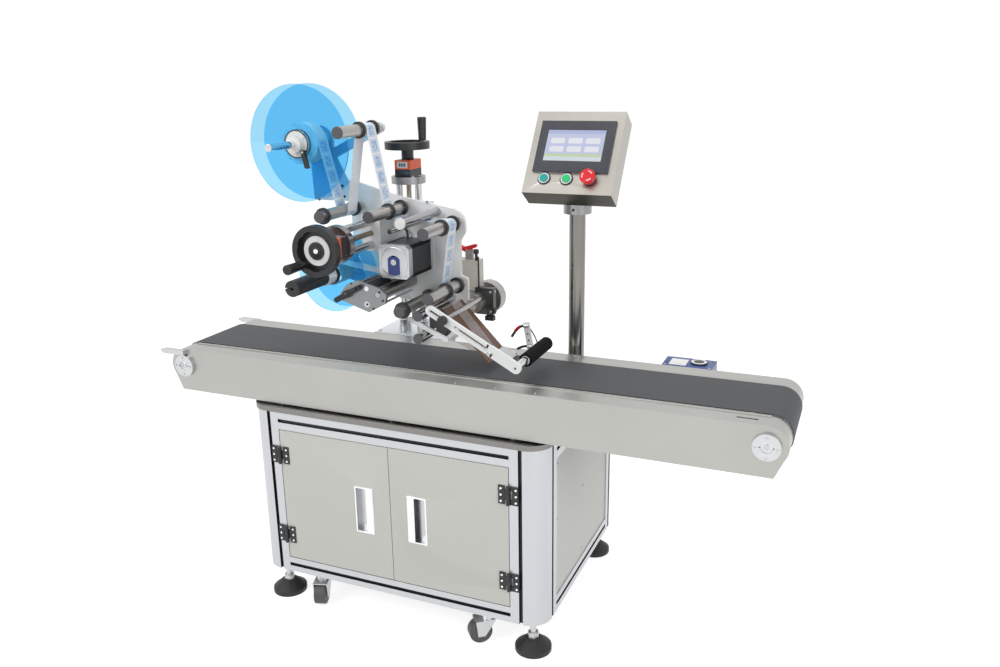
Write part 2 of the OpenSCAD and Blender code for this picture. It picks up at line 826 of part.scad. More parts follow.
// Turns a guide drawn upwards so that it points to the front
module to_front() translate([column_x, cross_front, belt_h + cross_z])
    rotate([90, 0, 0]) rotate([0, 0, 90]) children();

module cross_guide() color("#b9bcbf") centred() {
    to_front() guide_head();
    for (side = [-1, 1]) translate([column_x, 0, belt_h + cross_z + side * rod_gap / 2])
        rod_y(rod_d, cross_front + flange_t, column_y - carriage_d / 2);
}

// Handwheel on its threaded spindle, drawn upwards from the outer face of the flange
module handwheel(gap, spindle_l) {
    neck_low = counter_body_h + counter_h + seat_gap;
    rim_low = gap - rim_t / 2;
    translate([0, 0, -spindle_l]) cylinder(d = spindle_d, h = spindle_l + rim_low + over);
    difference() {
        union() {
            translate([0, 0, neck_low]) cylinder(d = neck_d, h = rim_low - neck_low);
            translate([0, 0, rim_low]) cylinder(d = wheel_boss_d, h = wheel_boss_t);
            translate([0, 0, rim_low]) cylinder(d = dial_d, h = dial_t);
            translate([0, 0, rim_low]) difference() {
                cylinder(d = wheel_d, h = rim_t);
                translate([0, 0, dish_t]) cylinder(d = wheel_d - 2 * rim_w, h = rim_t);
            }
        }
        translate([0, 0, neck_low - over]) cylinder(d = spindle_d, h = rim_low - neck_low + 2 * over);
    }
    translate([crank_r, 0, rim_low + dish_t / 2])
        cylinder(d = crank_pin_d, h = rim_t - dish_t / 2 + crank_neck_l + grip_l / 2);
}

module crank_grip(gap) {
    low = gap + rim_t / 2 + crank_neck_l;
    translate([crank_r, 0, low]) difference() {
        cylinder(d1 = crank_d - crank_neck_l, d2 = crank_d, h = grip_l);
        translate([0, 0, -over]) cylinder(d = crank_pin_d + 2 * run_fit, h = grip_l / 2 + over + seat_gap);
    }
}

module lift_handwheel() color("#2b2d30") centred() translate([column_x, column_y, column_top])
    handwheel(wheel_gap, lift_spindle_l);

module lift_grip() color("#1f2022") centred() translate([column_x, column_y, column_top])
    crank_grip(wheel_gap);

module cross_handwheel() color("#2b2d30") centred() to_front() rotate(cross_crank_angle)
    handwheel(cross_wheel_gap, cross_spindle_l);

module cross_grip() color("#1f2022") centred() to_front() rotate(cross_crank_angle)
    crank_grip(cross_wheel_gap);

// White plate that carries the head, with the block that runs on the cross guide
module head_outline() {
    tangent = plate_corner_r * [sin(plate_corner_angle), cos(plate_corner_angle)];
    polygon(concat(plate_upper_edge, [plate_corner + tangent, plate_corner,
        plate_corner + [plate_corner_r, 0],
        plate_corner + [plate_corner_r, -plate_corner_r / 2]], plate_right_edge, plate_lower_edge,
        [rewind_at + [0, -plate_lobe_r], rewind_at], plate_left_edge));
    translate(plate_corner) circle(r = plate_corner_r);
    translate(rewind_at) circle(r = plate_lobe_r);
}

module cross_holes(from, to) {
    for (side = [-1, 1]) translate([column_x, 0, cross_z + side * rod_gap / 2])
        rod_y(rod_d + 2 * run_fit, from - over, to + over);
    translate([column_x, 0, cross_z]) rod_y(spindle_d + 2 * seat_gap, from - over, to + over);
}

module head_plate() color("#eceeee") centred() translate([0, 0, belt_h]) {
    difference() {
        plate_y(head_y, head_back) head_outline();
        translate([rewind_at[0], 0, rewind_at[1]])
            rod_y(rewind_shaft_d + 2 * run_fit, head_y - over, head_back + over);
        for (place = [nip_drive_at, nip_pinch_at]) translate([place[0], 0, place[1]])
            rod_y(nip_shaft_d + 2 * run_fit, head_y - over, head_back + over);
        cross_holes(head_y, head_back);
    }
    difference() {
        box([column_x - slide_block_w / 2, slide_block_front, cross_z - slide_block_h / 2],
            [column_x + slide_block_w / 2, head_y, cross_z + slide_block_h / 2]);
        cross_holes(slide_block_front, head_y);
    }
}

// Plate behind the head plate with the bearing of the unwind shaft and the arm of the top roller
module reel_bracket() color("#e4e6e8") centred() translate([0, 0, belt_h]) {
    back = head_back + bracket_t;
    difference() {
        union() {
            plate_y(head_back, back) {
                translate(unwind_at) circle(d = hub_d + bracket_t);
                translate(unwind_at) polygon(bracket_foot);
                flat_bar(bracket_bar_from, roller_2_at, bracket_bar_w);
            }
            translate([unwind_at[0], 0, unwind_at[1]])
                rod_y(bracket_boss_d, reel_back + shaft_sink, head_back);
        }
        translate([unwind_at[0], 0, unwind_at[1]]) rod_y(unwind_shaft_d + 2 * run_fit, web_y, back + over);
    }
}

// Square with cut corners
module motor_face(side, cut) difference() {
    square(side, center = true);
    for (turn = [0 : 90 : 270]) rotate(turn) translate([side / 2, side / 2]) rotate(45)
        square(cut * sqrt(2), center = true);
}

module stepper_motor() color("#3a3c40") centred() at(motor_at) {
    from = head_y - motor_l;
    plate_y(head_y - motor_flange_t, head_y) motor_face(motor_s, motor_cut / 2);
    plate_y(from + motor_bell_t, head_y - motor_flange_t) motor_face(motor_s - 2 * motor_step, motor_cut);
    plate_y(from, from + motor_bell_t) motor_face(motor_s, motor_cut);
}

// End plate of the nip, tied to the head plate, with the pin of the clamp lever
module nip_frame() color("#a3a9ac") centred() translate([0, 0, belt_h]) {
    back = nip_plate_front + nip_plate_t;
    difference() {
        plate_y(nip_plate_front, back) polygon(nip_outline);
        for (place = [nip_drive_at, nip_pinch_at]) translate([place[0], 0, place[1]])
            rod_y(nip_shaft_d + 2 * run_fit, nip_plate_front - over, back + over);
    }
    for (place = [nip_lever_at, nip_tie_at]) translate([place[0], 0, place[1]])
        rod_y(nip_tie_d, back, head_y);
    translate([nip_guard_at[0], 0, nip_guard_at[1]]) rod_y(nip_guard_d, back, head_y);
    translate([nip_lever_at[0], 0, nip_lever_at[1]])
        rod_y(lever_pin_d, nip_plate_front - lever_t - 2 * seat_gap, nip_plate_front);
}

module nip_lever() color("#1c1d1f") centred() translate([0, 0, belt_h]) difference() {
    plate_y(nip_plate_front - lever_t - seat_gap, nip_plate_front - seat_gap) {
        for (end = nip_lever_ends) flat_bar(end, nip_lever_at, lever_w);
        translate(nip_lever_at) circle(d = nip_lever_hub_d);
    }
    translate([nip_lever_at[0], 0, nip_lever_at[1]]) rod_y(lever_pin_d + 2 * run_fit, 0, nip_plate_front);
}

module nip_roller(place, d) at(place) {
    rod_y(d, nip_plate_front + nip_plate_t + nip_side_gap, head_y - nip_side_gap);
    rod_y(nip_shaft_d, nip_plate_front + nip_side_gap, nip_plate_front + nip_plate_t + nip_side_gap);
    rod_y(nip_shaft_d, head_y - nip_side_gap, head_back + nip_shaft_out);
}

module nip_drive_roller() color("#7d8084") centred() nip_roller(nip_drive_at, nip_drive_d);

module nip_pinch_roller() color("#2c2d2f") centred() nip_roller(nip_pinch_at, nip_pinch_d);

// Behind the head plate: thick arm, round drum, sheet box with the toggle's pin, clamp of the press rod
module drive_cover() color("#b4b8ba") centred() translate([0, 0, belt_h]) difference() {
    union() {
        plate_y(head_back, drum_front) flat_bar(back_arm_at[0], back_arm_at[1], back_arm_w);
        plate_y(drum_front, drum_front + drum_t) translate(drum_at) circle(d = drum_d);
        box(sheet_box[0], sheet_box[1]);
        translate(clamp_at) cube(clamp_size);
        box([toggle_at[0] - toggle_plate[0] / 2, toggle_y - toggle_plate[1], sheet_box[1][2]],
            [toggle_at[0] + toggle_plate[0] / 2, toggle_y, toggle_at[1] + toggle_plate[1]]);
        translate([toggle_at[0], 0, toggle_at[1]])
            rod_y(lever_pin_d, toggle_y, toggle_y + toggle_t + 2 * seat_gap);
    }
    translate([press_rod_at[0], 0, press_rod_at[1]])
        rod_y(press_rod_d + 2 * run_fit, head_back - over, clamp_at[1] + clamp_size[1] + over);
}

module toggle_handle() color("#c0272d") centred() translate([0, 0, belt_h]) difference() {
    plate_y(toggle_y + seat_gap, toggle_y + toggle_t) {
        flat_bar(toggle_end, toggle_at, toggle_w);
        translate(toggle_at) circle(d = toggle_hub_d);
    }
    translate([toggle_at[0], 0, toggle_at[1]]) rod_y(lever_pin_d + 2 * run_fit, toggle_y,
        toggle_y + 2 * toggle_t);
}

// Thin plate over whose lower edge the web turns, its holding bar, the guide block and a slim bar
module peel_plate() color("#5a3b2c") centred() translate([0, 0, belt_h]) {
    run = peel_low_at - peel_top_at;
    slope = atan2(run[1], run[0]);
    front = head_y - peel_w;
    plate_y(front, head_y - seat_gap) translate(peel_top_at) rotate(slope) translate([0, -peel_t / 2])
        square([norm(run), peel_t]);
    plate_y(front, head_y) translate(peel_top_at) rotate(slope) translate([0, -peel_t / 2 - peel_bar_w])
        square(peel_bar_w);
    plate_y(guide_block_front, front) polygon(guide_block);
    plate_y(guide_block_front - slim_bar_t, guide_block_front)
        flat_bar(slim_bar[0], slim_bar[1], slim_bar_w);
}

// Fixed spindles of the guide rollers, the plain rods, and the press rod with its clamp knob
module head_rods() color("#c9ccce") centred() {
    for (place = [roller_1_at, roller_3_at, roller_4_at, roller_5_at, roller_6_at])
        at(place) rod_y(guide_rod_d, guide_front + guide_blind_l, head_y);
    at(roller_2_at) rod_y(guide_rod_d, guide_front + guide_blind_l, head_back);
    at(polished_rod_at) {
        rod_y(polished_d, guide_front, head_y);
        rod_y(polished_d + 2 * polished_rim, guide_front - polished_rim_t, guide_front);
    }
    at(small_rod_at) rod_y(small_rod_d, guide_front + small_rod_in, head_y);
    for (place = [lower_rod_1_at, lower_rod_2_at]) at(place) rod_y(lower_rod_d, guide_front, head_y);
    at(press_rod_at) {
        rod_y(press_rod_d, arm_front - press_knob_t, clamp_at[1] + clamp_size[1]);
        rod_y(press_knob_d, arm_front - press_knob_t, arm_front - seat_gap);
    }
}

// Guide roller on its fixed spindle: tube, end cap and two collars that start at the given places
module guide_roller(place, collars) at(place) {
    difference() {
        rod_y(tube_d, guide_front + guide_cap_t, guide_back);
        rod_y(guide_rod_d + 2 * run_fit, guide_front + guide_blind_l - seat_gap, guide_back + over);
    }
    rod_y(tube_d, guide_front, guide_front + guide_cap_t);
    for (y = collars) tube_y(collar_d, tube_d, y, y + collar_t);
}

module guide_roller_1() color("#aeb0b2") centred() guide_roller(roller_1_at, end_collars);
module guide_roller_2() color("#aeb0b2") centred() guide_roller(roller_2_at, web_collars);
module guide_roller_3() color("#aeb0b2") centred() guide_roller(roller_3_at, web_collars);
module guide_roller_4() color("#aeb0b2") centred() guide_roller(roller_4_at, web_collars);
module guide_roller_5() color("#aeb0b2") centred() guide_roller(roller_5_at, web_collars);
module guide_roller_6() color("#aeb0b2") centred() guide_roller(roller_6_at, end_collars);

// Path of the label web round its stops
function stop_r(stop) = stop[1] + seat_gap + web_t / 2;
function heading(a, b) = let(run = b[0] - a[0])
    atan2(run[1], run[0]) + asin((a[2] * stop_r(a) - b[2] * stop_r(b)) / norm(run));
function full_turn(angle) = angle - 360 * floor(angle / 360);
function spot(stop, angle, side) = stop[0]
    + (stop_r(stop) + side * stop[2] * web_t / 2) * stop[2] * [sin(angle), -cos(angle)];
function wrap(k, side) = let(stop = web_stops[k], a = heading(web_stops[k - 1], stop),
    b = heading(stop, web_stops[k + 1]),
    sweep = full_turn(stop[2] * (b - a))) [for (n = [0 : arc_steps]) spot(stop,
        a + stop[2] * sweep * n / arc_steps, side)];
function web_side(side) = let(last = len(web_stops) - 1) concat(
    [spot(web_stops[0], heading(web_stops[0], web_stops[1]), side)],
    [for (k = [1 : last - 1]) each wrap(k, side)],
    [spot(web_stops[last], heading(web_stops[last - 1], web_stops[last]), side)]);
function reversed(list) = [for (k = [len(list) - 1 : -1 : 0]) list[k]];

module label_web() color("#dfe8ef") centred() translate([0, 0, belt_h])
    plate_y(web_y - web_w / 2, web_y + web_w / 2) polygon(concat(web_side(-1), reversed(web_side(1))));

// Shaft of the unwind reel with its flange, its white collar, the core of the roll and the lever's pin
module unwind_hub() color("#c6d3e6") centred() at(unwind_at) {
    rod_y(unwind_shaft_d, unwind_front, head_back + bracket_t);
    tube_y(hub_d, unwind_shaft_d, hub_front, reel_front);
    tube_y(hub_collar_d, unwind_shaft_d, hub_front - hub_collar_t, hub_front);
    tube_y(core_d, unwind_shaft_d, reel_front + disc_t, reel_back - disc_t);
    translate([hub_lever_at[0], 0, hub_lever_at[1]]) rod_y(hub_pin_d, hub_front - hub_pin_l, hub_front);
}

module hub_lever() color("#1c1d1f") centred() at(unwind_at) difference() {
    plate_y(hub_front - hub_lever_w, hub_front - seat_gap)
        flat_bar(hub_lever_at, hub_lever_end, hub_lever_w);
    translate([hub_lever_at[0], 0, hub_lever_at[1]])
        rod_y(hub_pin_d + 2 * run_fit, hub_front - 2 * hub_lever_w, hub_front + over);
}

module reel_pair(d, bore) {
    tube_y(d, bore, reel_front, reel_front + disc_t);
    tube_y(d, bore, reel_back - disc_t, reel_back);
}

module reel_discs() color("#4f9fe0") centred() at(unwind_at) reel_pair(reel_d, unwind_shaft_d);

module label_roll() color("#eef3f7") centred() at(unwind_at)
    tube_y(roll_d, core_d, web_y - web_w / 2, web_y + web_w / 2);

// Rewind reel: split mandrel with a bore, its collar and ring, two discs, the core and the shaft
module rewind_reel() color("#4f9fe0") centred() at(rewind_at) {
    ring_front = reel_front - mandrel_ring_t;
    collar_front = ring_front - mandrel_collar_t;
    difference() {
        rod_y(mandrel_d, mandrel_front, collar_front);
        rod_y(mandrel_bore_d, mandrel_front - over, collar_front - mandrel_ring_t);
        box([-mandrel_d, mandrel_front - over, -mandrel_slot_w / 2],
            [0, collar_front - mandrel_ring_t, mandrel_slot_w / 2]);
    }
    rod_y(mandrel_collar_d, collar_front, ring_front);
    rod_y(mandrel_ring_d, ring_front, reel_front);
    reel_pair(rewind_d, rewind_shaft_d);
    rod_y(rewind_shaft_d, reel_front, head_back + rewind_shaft_d);
    tube_y(core_rewind_d, rewind_shaft_d, reel_front + disc_t, reel_back - disc_t);
}

// Press arm: a slotted bar on the press rod, lapped by a wider tip that holds the roller's axle
module press_arm_outline() {
    run = press_at - press_rod_at;
    slope = atan2(run[1], run[0]);
    reach = norm(run);
    end_at = press_rod_at - arm_end_l * run / reach;
    difference() {
        union() {
            flat_bar(end_at, press_at, arm_w);
            translate(press_at) circle(d = arm_tip_w);
            translate(press_rod_at) rotate(slope)
                translate([reach * arm_lap_share, (bar_waist - arm_tip_w) / 2])
                square([reach * (1 - arm_lap_share), arm_tip_w - bar_waist]);
        }
        translate(press_rod_at) circle(d = press_rod_d + 2 * run_fit);
        flat_bar(end_at, press_rod_at - arm_w / reach * run / 2, arm_slot_w);
        flat_bar(press_rod_at + arm_slot_shares[0] * run, press_rod_at + arm_slot_shares[1] * run,
            arm_slot_w);
    }
}

module press_arm() color("#e9ebec") centred() translate([0, 0, belt_h]) {
    back = arm_front + arm_t;
    plate_y(arm_front, back) press_arm_outline();
    translate([press_at[0], 0, press_at[1]]) {
        rod_y(press_axle_d, back, press_front + press_l);
        rod_y(press_bush_d, back, press_front - seat_gap);
    }
    translate([press_stub_at[0], 0, press_stub_at[1]]) rod_y(press_axle_d, back, back + press_stub_l);
}

module press_roller() color("#1d1e20") centred() at(press_at)
    tube_y(press_d, press_axle_d + 2 * run_fit, press_front, press_front + press_l);

// Door: a sheet tray open to the back, a recessed pull half covered by a flap, and two hinge halves
module door(hinge_x, side) {
    low_x = side < 0 ? cab_left + post_w + door_gap : cab_x + door_gap / 2;
    handle_x = cab_x + side * handle_side;
    handle_z = door_low + door_gap + door_h / 2;
    pocket = [[handle_x - handle_w / 2, handle_z - handle_h / 2],
        [handle_x + handle_w / 2, handle_z + handle_h / 2]];
    low_z = door_low + door_gap;
    difference() {
        box([low_x, cab_front, low_z], [low_x + door_w, cab_front + door_t, low_z + door_h]);
        box([low_x + door_skin, cab_front + door_skin, low_z + door_skin],
            [low_x + door_w - door_skin, cab_front + door_t + over, low_z + door_h - door_skin]);
        box([pocket[0][0], cab_front - over, pocket[0][1]], [pocket[1][0], cab_front + door_t,
            pocket[1][1]]);
    }
    difference() {
        union() {
            box([pocket[0][0], cab_front, pocket[0][1]], [pocket[1][0], cab_front + handle_deep,
                pocket[1][1]]);
            box([pocket[0][0] - handle_lip, cab_front - handle_lip, pocket[0][1] - handle_lip],
                [pocket[1][0] + handle_lip, cab_front, pocket[1][1] + handle_lip]);
        }
        box([pocket[0][0] + handle_lip, cab_front - handle_lip - over, pocket[0][1] + handle_lip],
            [pocket[1][0] - handle_lip, cab_front + handle_deep - handle_lip, pocket[1][1] - handle_lip]);
    }
    flap_x = side < 0 ? pocket[1][0] - handle_flap_w : pocket[0][0];
    box([flap_x, cab_front - 2 * handle_lip, pocket[0][1]],
        [flap_x + handle_flap_w, cab_front - handle_lip, pocket[1][1]]);
    for (z = [hinge_z_low, hinge_z_top]) hinge_moving(hinge_x, z, side);
}

module left_door() color("#cbcec6") centred() door(hinge_x_left, -1);

module right_door() color("#cbcec6") centred() door(hinge_x_right, 1);

module panel_pole() color("#b7b9bb") centred() translate([pole_x, pole_y, table_top]) {
    pole_l = pole_top - table_top;
    cylinder(d = pole_foot_d, h = pole_foot_t);
    translate([0, 0, pole_foot_t]) cylinder(d = pole_d, h = pole_l - pole_foot_t);
    translate([0, 0, pole_l]) cylinder(d = pole_pin_d, h = pole_collar_h - seat_gap);
}

// Places its children on the sloping face: x across, y into the box, z up the slope, from the bezel's middle
module on_panel() translate([panel_face[0], panel_face[1], belt_h + panel_face_z])
    rotate([-panel_angle, 0, 0]) children();

module panel_box() color("#cfcfcc") centred() {
    low_z = -panel_low_share * panel_h;
    hole_d = button_d + 2 * seat_gap;
    difference() {
        union() {
            on_panel() box([-panel_w / 2, 0, low_z], [panel_w / 2, panel_d, low_z + panel_h]);
            translate([pole_x, pole_y, pole_top + seat_gap]) cylinder(d = pole_collar_d, h = pole_collar_h);
            translate([pole_x, pole_y, pole_top + pole_collar_h])
                cylinder(d = pole_neck_d, h = pole_neck_h);
        }
        translate([pole_x, pole_y, pole_top]) cylinder(d = pole_pin_d + 2 * run_fit,
            h = pole_collar_h + seat_gap);
        on_panel() for (x = button_x) translate([x, 0, button_z]) rod_y(hole_d, -over, button_well);
    }
    on_panel() {
        difference() {
            box([-bezel_size[0] / 2, -bezel_size[1], -bezel_size[2] / 2], [bezel_size[0] / 2, 0,
                bezel_size[2] / 2]);
            box([-screen_size[0] / 2, -bezel_size[1] - over, screen_up - screen_size[2] / 2],
                [screen_size[0] / 2, -bezel_size[1] + screen_size[1], screen_up + screen_size[2] / 2]);
        }
        for (x = button_x) translate([x, 0, button_z]) tube_y(button_ring_d, hole_d, -button_ring_t, 0);
    }
}

module push_button(x) on_panel() translate([x, 0, button_z])
    rod_y(button_d, -button_ring_t - button_out, button_in);

module reset_button() color("#2fae9e") centred() push_button(button_x[0]);

module start_button() color("#2fb45a") centred() push_button(button_x[1]);

module stop_button() color("#d3202a") centred() on_panel() translate([button_x[2], 0, button_z]) {
    rod_y(button_d, -button_ring_t - mushroom_gap, button_in);
    rod_y(mushroom_d, -button_ring_t - mushroom_gap - mushroom_t, -button_ring_t - mushroom_gap);
}

// Mounting plate on two spacer strips, with power supply, motor driver, controller and wire duct
module control_gear() color("#9aa0a3") centred() {
    size = [gear_plate_w, gear_plate_t, gear_plate_h];
    plate_back = cab_back - rail_d - panel_t;
    low = [cab_x - size[0] / 2, plate_back - size[1], door_low + gear_margin[1] / 2];
    box(low, low + size);
    for (part = gear_modules)
        translate([low[0] + part[1], low[1] - part[0][1], low[2] + part[2]]) cube(part[0]);
    for (x = [gear_spacer_in, size[0] - gear_spacer_in - gear_spacer_w])
        translate([low[0] + x, plate_back, low[2]])
        cube([gear_spacer_w, cab_back - panel_inset - panel_t - plate_back, size[2]]);
}

module levelling_feet() color("#2a2b2d") centred() {
    for (x = [cab_left + foot_inset, cab_right - foot_inset], y = [cab_front + foot_inset,
        cab_back - foot_inset])
        translate([x, y, 0]) {
            cylinder(d = foot_d, h = foot_rim_h);
            translate([0, 0, foot_rim_h]) cylinder(d1 = foot_d, d2 = foot_neck_d, h = foot_cone_h);
            translate([0, 0, foot_rim_h + foot_cone_h]) cylinder(d = foot_nut_d, h = foot_nut_h, $fn = 6);
            translate([0, 0, foot_rim_h]) cylinder(d = foot_stem_d, h = cab_lift - foot_rim_h);
        }
}

module drive_roller() color("#8f9194") centred() translate([roller_x, 0, roller_z]) belt_roller();

module idler_roller() color("#8f9194") centred() translate([-roller_x, 0, roller_z]) belt_roller();

module belt_roller() {
    rod_y(belt_roller_d - 2 * seat_gap, belt_front, belt_back);
    rod_y(roller_shaft_d, -cap_t + shaft_sink, conveyor_w + cap_t - shaft_sink);
}

module caster_plate(x, y) translate([x, y, cab_lift - caster_plate_t]) {
    translate([-caster_plate_s / 2, -caster_plate_s / 2, 0])
        cube([caster_plate_s, caster_plate_s, caster_plate_t]);
    translate([0, 0, -caster_race_h]) cylinder(d = caster_race_d, h = caster_race_h);
}

// Fork of a caster, its trail along +X from the swivel axis
module caster_fork() {
    top = cab_lift - caster_plate_t - caster_race_h;
    inner = caster_w / 2 + fork_gap;
    crown = caster_z + caster_d / 2 + fork_gap;
    foot_z = caster_z - fork_foot_w / 2;
    translate([0, 0, crown + fork_t]) cylinder(d = caster_race_d, h = top - crown - fork_t);
    box([-fork_w / 2, -inner - fork_t, crown], [caster_trail + fork_w / 2, inner + fork_t, crown + fork_t]);
    for (side = [-1, 1]) translate([0, side < 0 ? -inner - fork_t : inner, 0]) plate_y(0, fork_t)
        polygon([[-fork_w / 2, crown], [caster_trail + fork_w / 2, crown],
            [caster_trail + fork_foot_w / 2, foot_z], [caster_trail - fork_foot_w / 2, foot_z]]);
    translate([caster_trail, 0, caster_z]) rod_y(caster_axle_d, -inner, inner);
}

module caster_wheel() translate([caster_trail, 0, caster_z])
    tube_y(caster_d, caster_axle_d + 2 * run_fit, -caster_w / 2, caster_w / 2);

// The front casters swivel, a running gap below their races; the rear ones are fixed
module left_caster() translate([cab_left + caster_inset, caster_y, -seat_gap])
    rotate(left_caster_angle) children();
module right_caster() translate([cab_right - caster_inset, caster_y, -seat_gap])
    rotate(right_caster_angle) children();
module rear_caster(x) translate([x, rear_caster_y, 0]) rotate(rear_caster_angle) children();

module caster_fork_left() color("#8d9194") centred() left_caster() caster_fork();
module caster_fork_right() color("#8d9194") centred() right_caster() caster_fork();
module caster_wheel_1() color("#3b3c3e") centred() left_caster() caster_wheel();
module caster_wheel_2() color("#3b3c3e") centred() right_caster() caster_wheel();
module caster_wheel_3() color("#3b3c3e") centred() rear_caster(cab_left + caster_inset) caster_wheel();
module caster_wheel_4() color("#3b3c3e") centred() rear_caster(cab_right - caster_inset) caster_wheel();

cabinet_frame();
side_panels();
tabletop();
front_beam();
back_beam();
slider_bed();
conveyor_belt();
end_bearings();
conveyor_motor();
column_base();
lift_guide();
panel_pole();
control_gear();
levelling_feet();
drive_roller();
idler_roller();
lift_carriage();
cross_guide();
lift_handwheel();
lift_grip();
cross_handwheel();
cross_grip();
head_plate();
reel_bracket();
stepper_motor();
nip_frame();
drive_cover();
peel_plate();
head_rods();
label_web();
product_sensor();
unwind_hub();
reel_discs();
label_roll();
rewind_reel();
guide_roller_1();
guide_roller_2();
guide_roller_3();
guide_roller_4();
guide_roller_5();
guide_roller_6();
nip_drive_roller();
nip_pinch_roller();
hub_lever();
nip_lever();
toggle_handle();
press_arm();
press_roller();
left_door();
right_door();
panel_box();
reset_button();
start_button();
stop_button();
caster_fork_left();
caster_fork_right();
caster_wheel_1();
caster_wheel_2();
caster_wheel_3();
caster_wheel_4();
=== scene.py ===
"""Looks of the flat surface labelling machine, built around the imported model, in metres."""

import json
from math import asin, atan2, cos, pi, radians, sin

import bmesh
import bpy
from mathutils import Matrix, Vector

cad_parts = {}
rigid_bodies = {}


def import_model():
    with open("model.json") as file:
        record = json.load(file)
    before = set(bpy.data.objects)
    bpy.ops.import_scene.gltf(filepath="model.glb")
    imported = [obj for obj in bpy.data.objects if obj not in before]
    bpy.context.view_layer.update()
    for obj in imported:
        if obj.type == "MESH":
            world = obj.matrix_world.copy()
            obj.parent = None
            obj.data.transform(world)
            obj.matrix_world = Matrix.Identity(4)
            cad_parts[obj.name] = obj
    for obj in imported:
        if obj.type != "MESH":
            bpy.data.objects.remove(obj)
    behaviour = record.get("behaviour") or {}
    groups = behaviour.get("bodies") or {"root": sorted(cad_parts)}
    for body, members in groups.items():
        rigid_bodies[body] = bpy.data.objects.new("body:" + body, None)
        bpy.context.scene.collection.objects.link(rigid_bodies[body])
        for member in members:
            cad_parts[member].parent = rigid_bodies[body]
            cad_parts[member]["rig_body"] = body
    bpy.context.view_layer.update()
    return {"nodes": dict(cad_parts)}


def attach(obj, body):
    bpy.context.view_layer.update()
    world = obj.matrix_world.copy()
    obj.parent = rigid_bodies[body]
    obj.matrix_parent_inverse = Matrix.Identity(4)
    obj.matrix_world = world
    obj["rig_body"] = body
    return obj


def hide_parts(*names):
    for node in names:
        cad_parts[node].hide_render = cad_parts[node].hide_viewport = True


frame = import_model()
MM = 0.001
X, Y, Z = Vector((1, 0, 0)), Vector((0, 1, 0)), Vector((0, 0, 1))

# Camera

EYE = Vector((0.9763, -2.0994, 1.4664))
YAW, PITCH, ROLL = 0.412, 0.286, -0.018
FOCAL_PX, CENTRE_PX = 901.1, (489.5, 331.5)
PICTURE_PX = (1000, 667)
SENSOR = 36.0


def aim_camera():
    """The viewing angle, solved from the straight edges of the conveyor and the cabinet."""
    ahead = Vector((-sin(YAW) * cos(PITCH), cos(YAW) * cos(PITCH), -sin(PITCH)))
    across = Vector((cos(YAW), sin(YAW), 0))
    upward = across.cross(ahead)
    across, upward = cos(ROLL) * across + sin(ROLL) * upward, cos(ROLL) * upward - sin(ROLL) * across
    data = bpy.data.cameras.new("viewpoint")
    data.sensor_width = SENSOR
    data.lens = FOCAL_PX / PICTURE_PX[0] * SENSOR
    data.shift_x = 0.5 - CENTRE_PX[0] / PICTURE_PX[0]
    data.shift_y = (CENTRE_PX[1] - PICTURE_PX[1] / 2) / PICTURE_PX[0]
    camera = bpy.data.objects.new("viewpoint", data)
    bpy.context.scene.collection.objects.link(camera)
    turn = Matrix((across, upward, -ahead)).transposed()
    camera.matrix_world = Matrix.Translation(EYE) @ turn.to_4x4()
    bpy.context.scene.camera = camera


aim_camera()

# Finishes


class Wire:
    """One output of a node. Sums, products and comparisons of wires add Math nodes."""

    def __init__(self, paint, socket):
        self.paint, self.socket = paint, socket

    def __add__(self, other):
        return self.paint.maths("ADD", self, other)

    def __sub__(self, other):
        return self.paint.maths("SUBTRACT", self, other)

    def __rsub__(self, other):
        return self.paint.maths("SUBTRACT", other, self)

    def __mul__(self, other):
        return self.paint.maths("MULTIPLY", self, other)

    def __gt__(self, other):
        return self.paint.maths("GREATER_THAN", self, other)

    def __lt__(self, other):
        return self.paint.maths("LESS_THAN", self, other)

    __radd__, __rmul__ = __add__, __mul__


def shade(colour, factor):
    """A darker or paler shade of a colour."""
    return tuple(min(1.0, part * factor) for part in colour[:3]) + (1.0,)


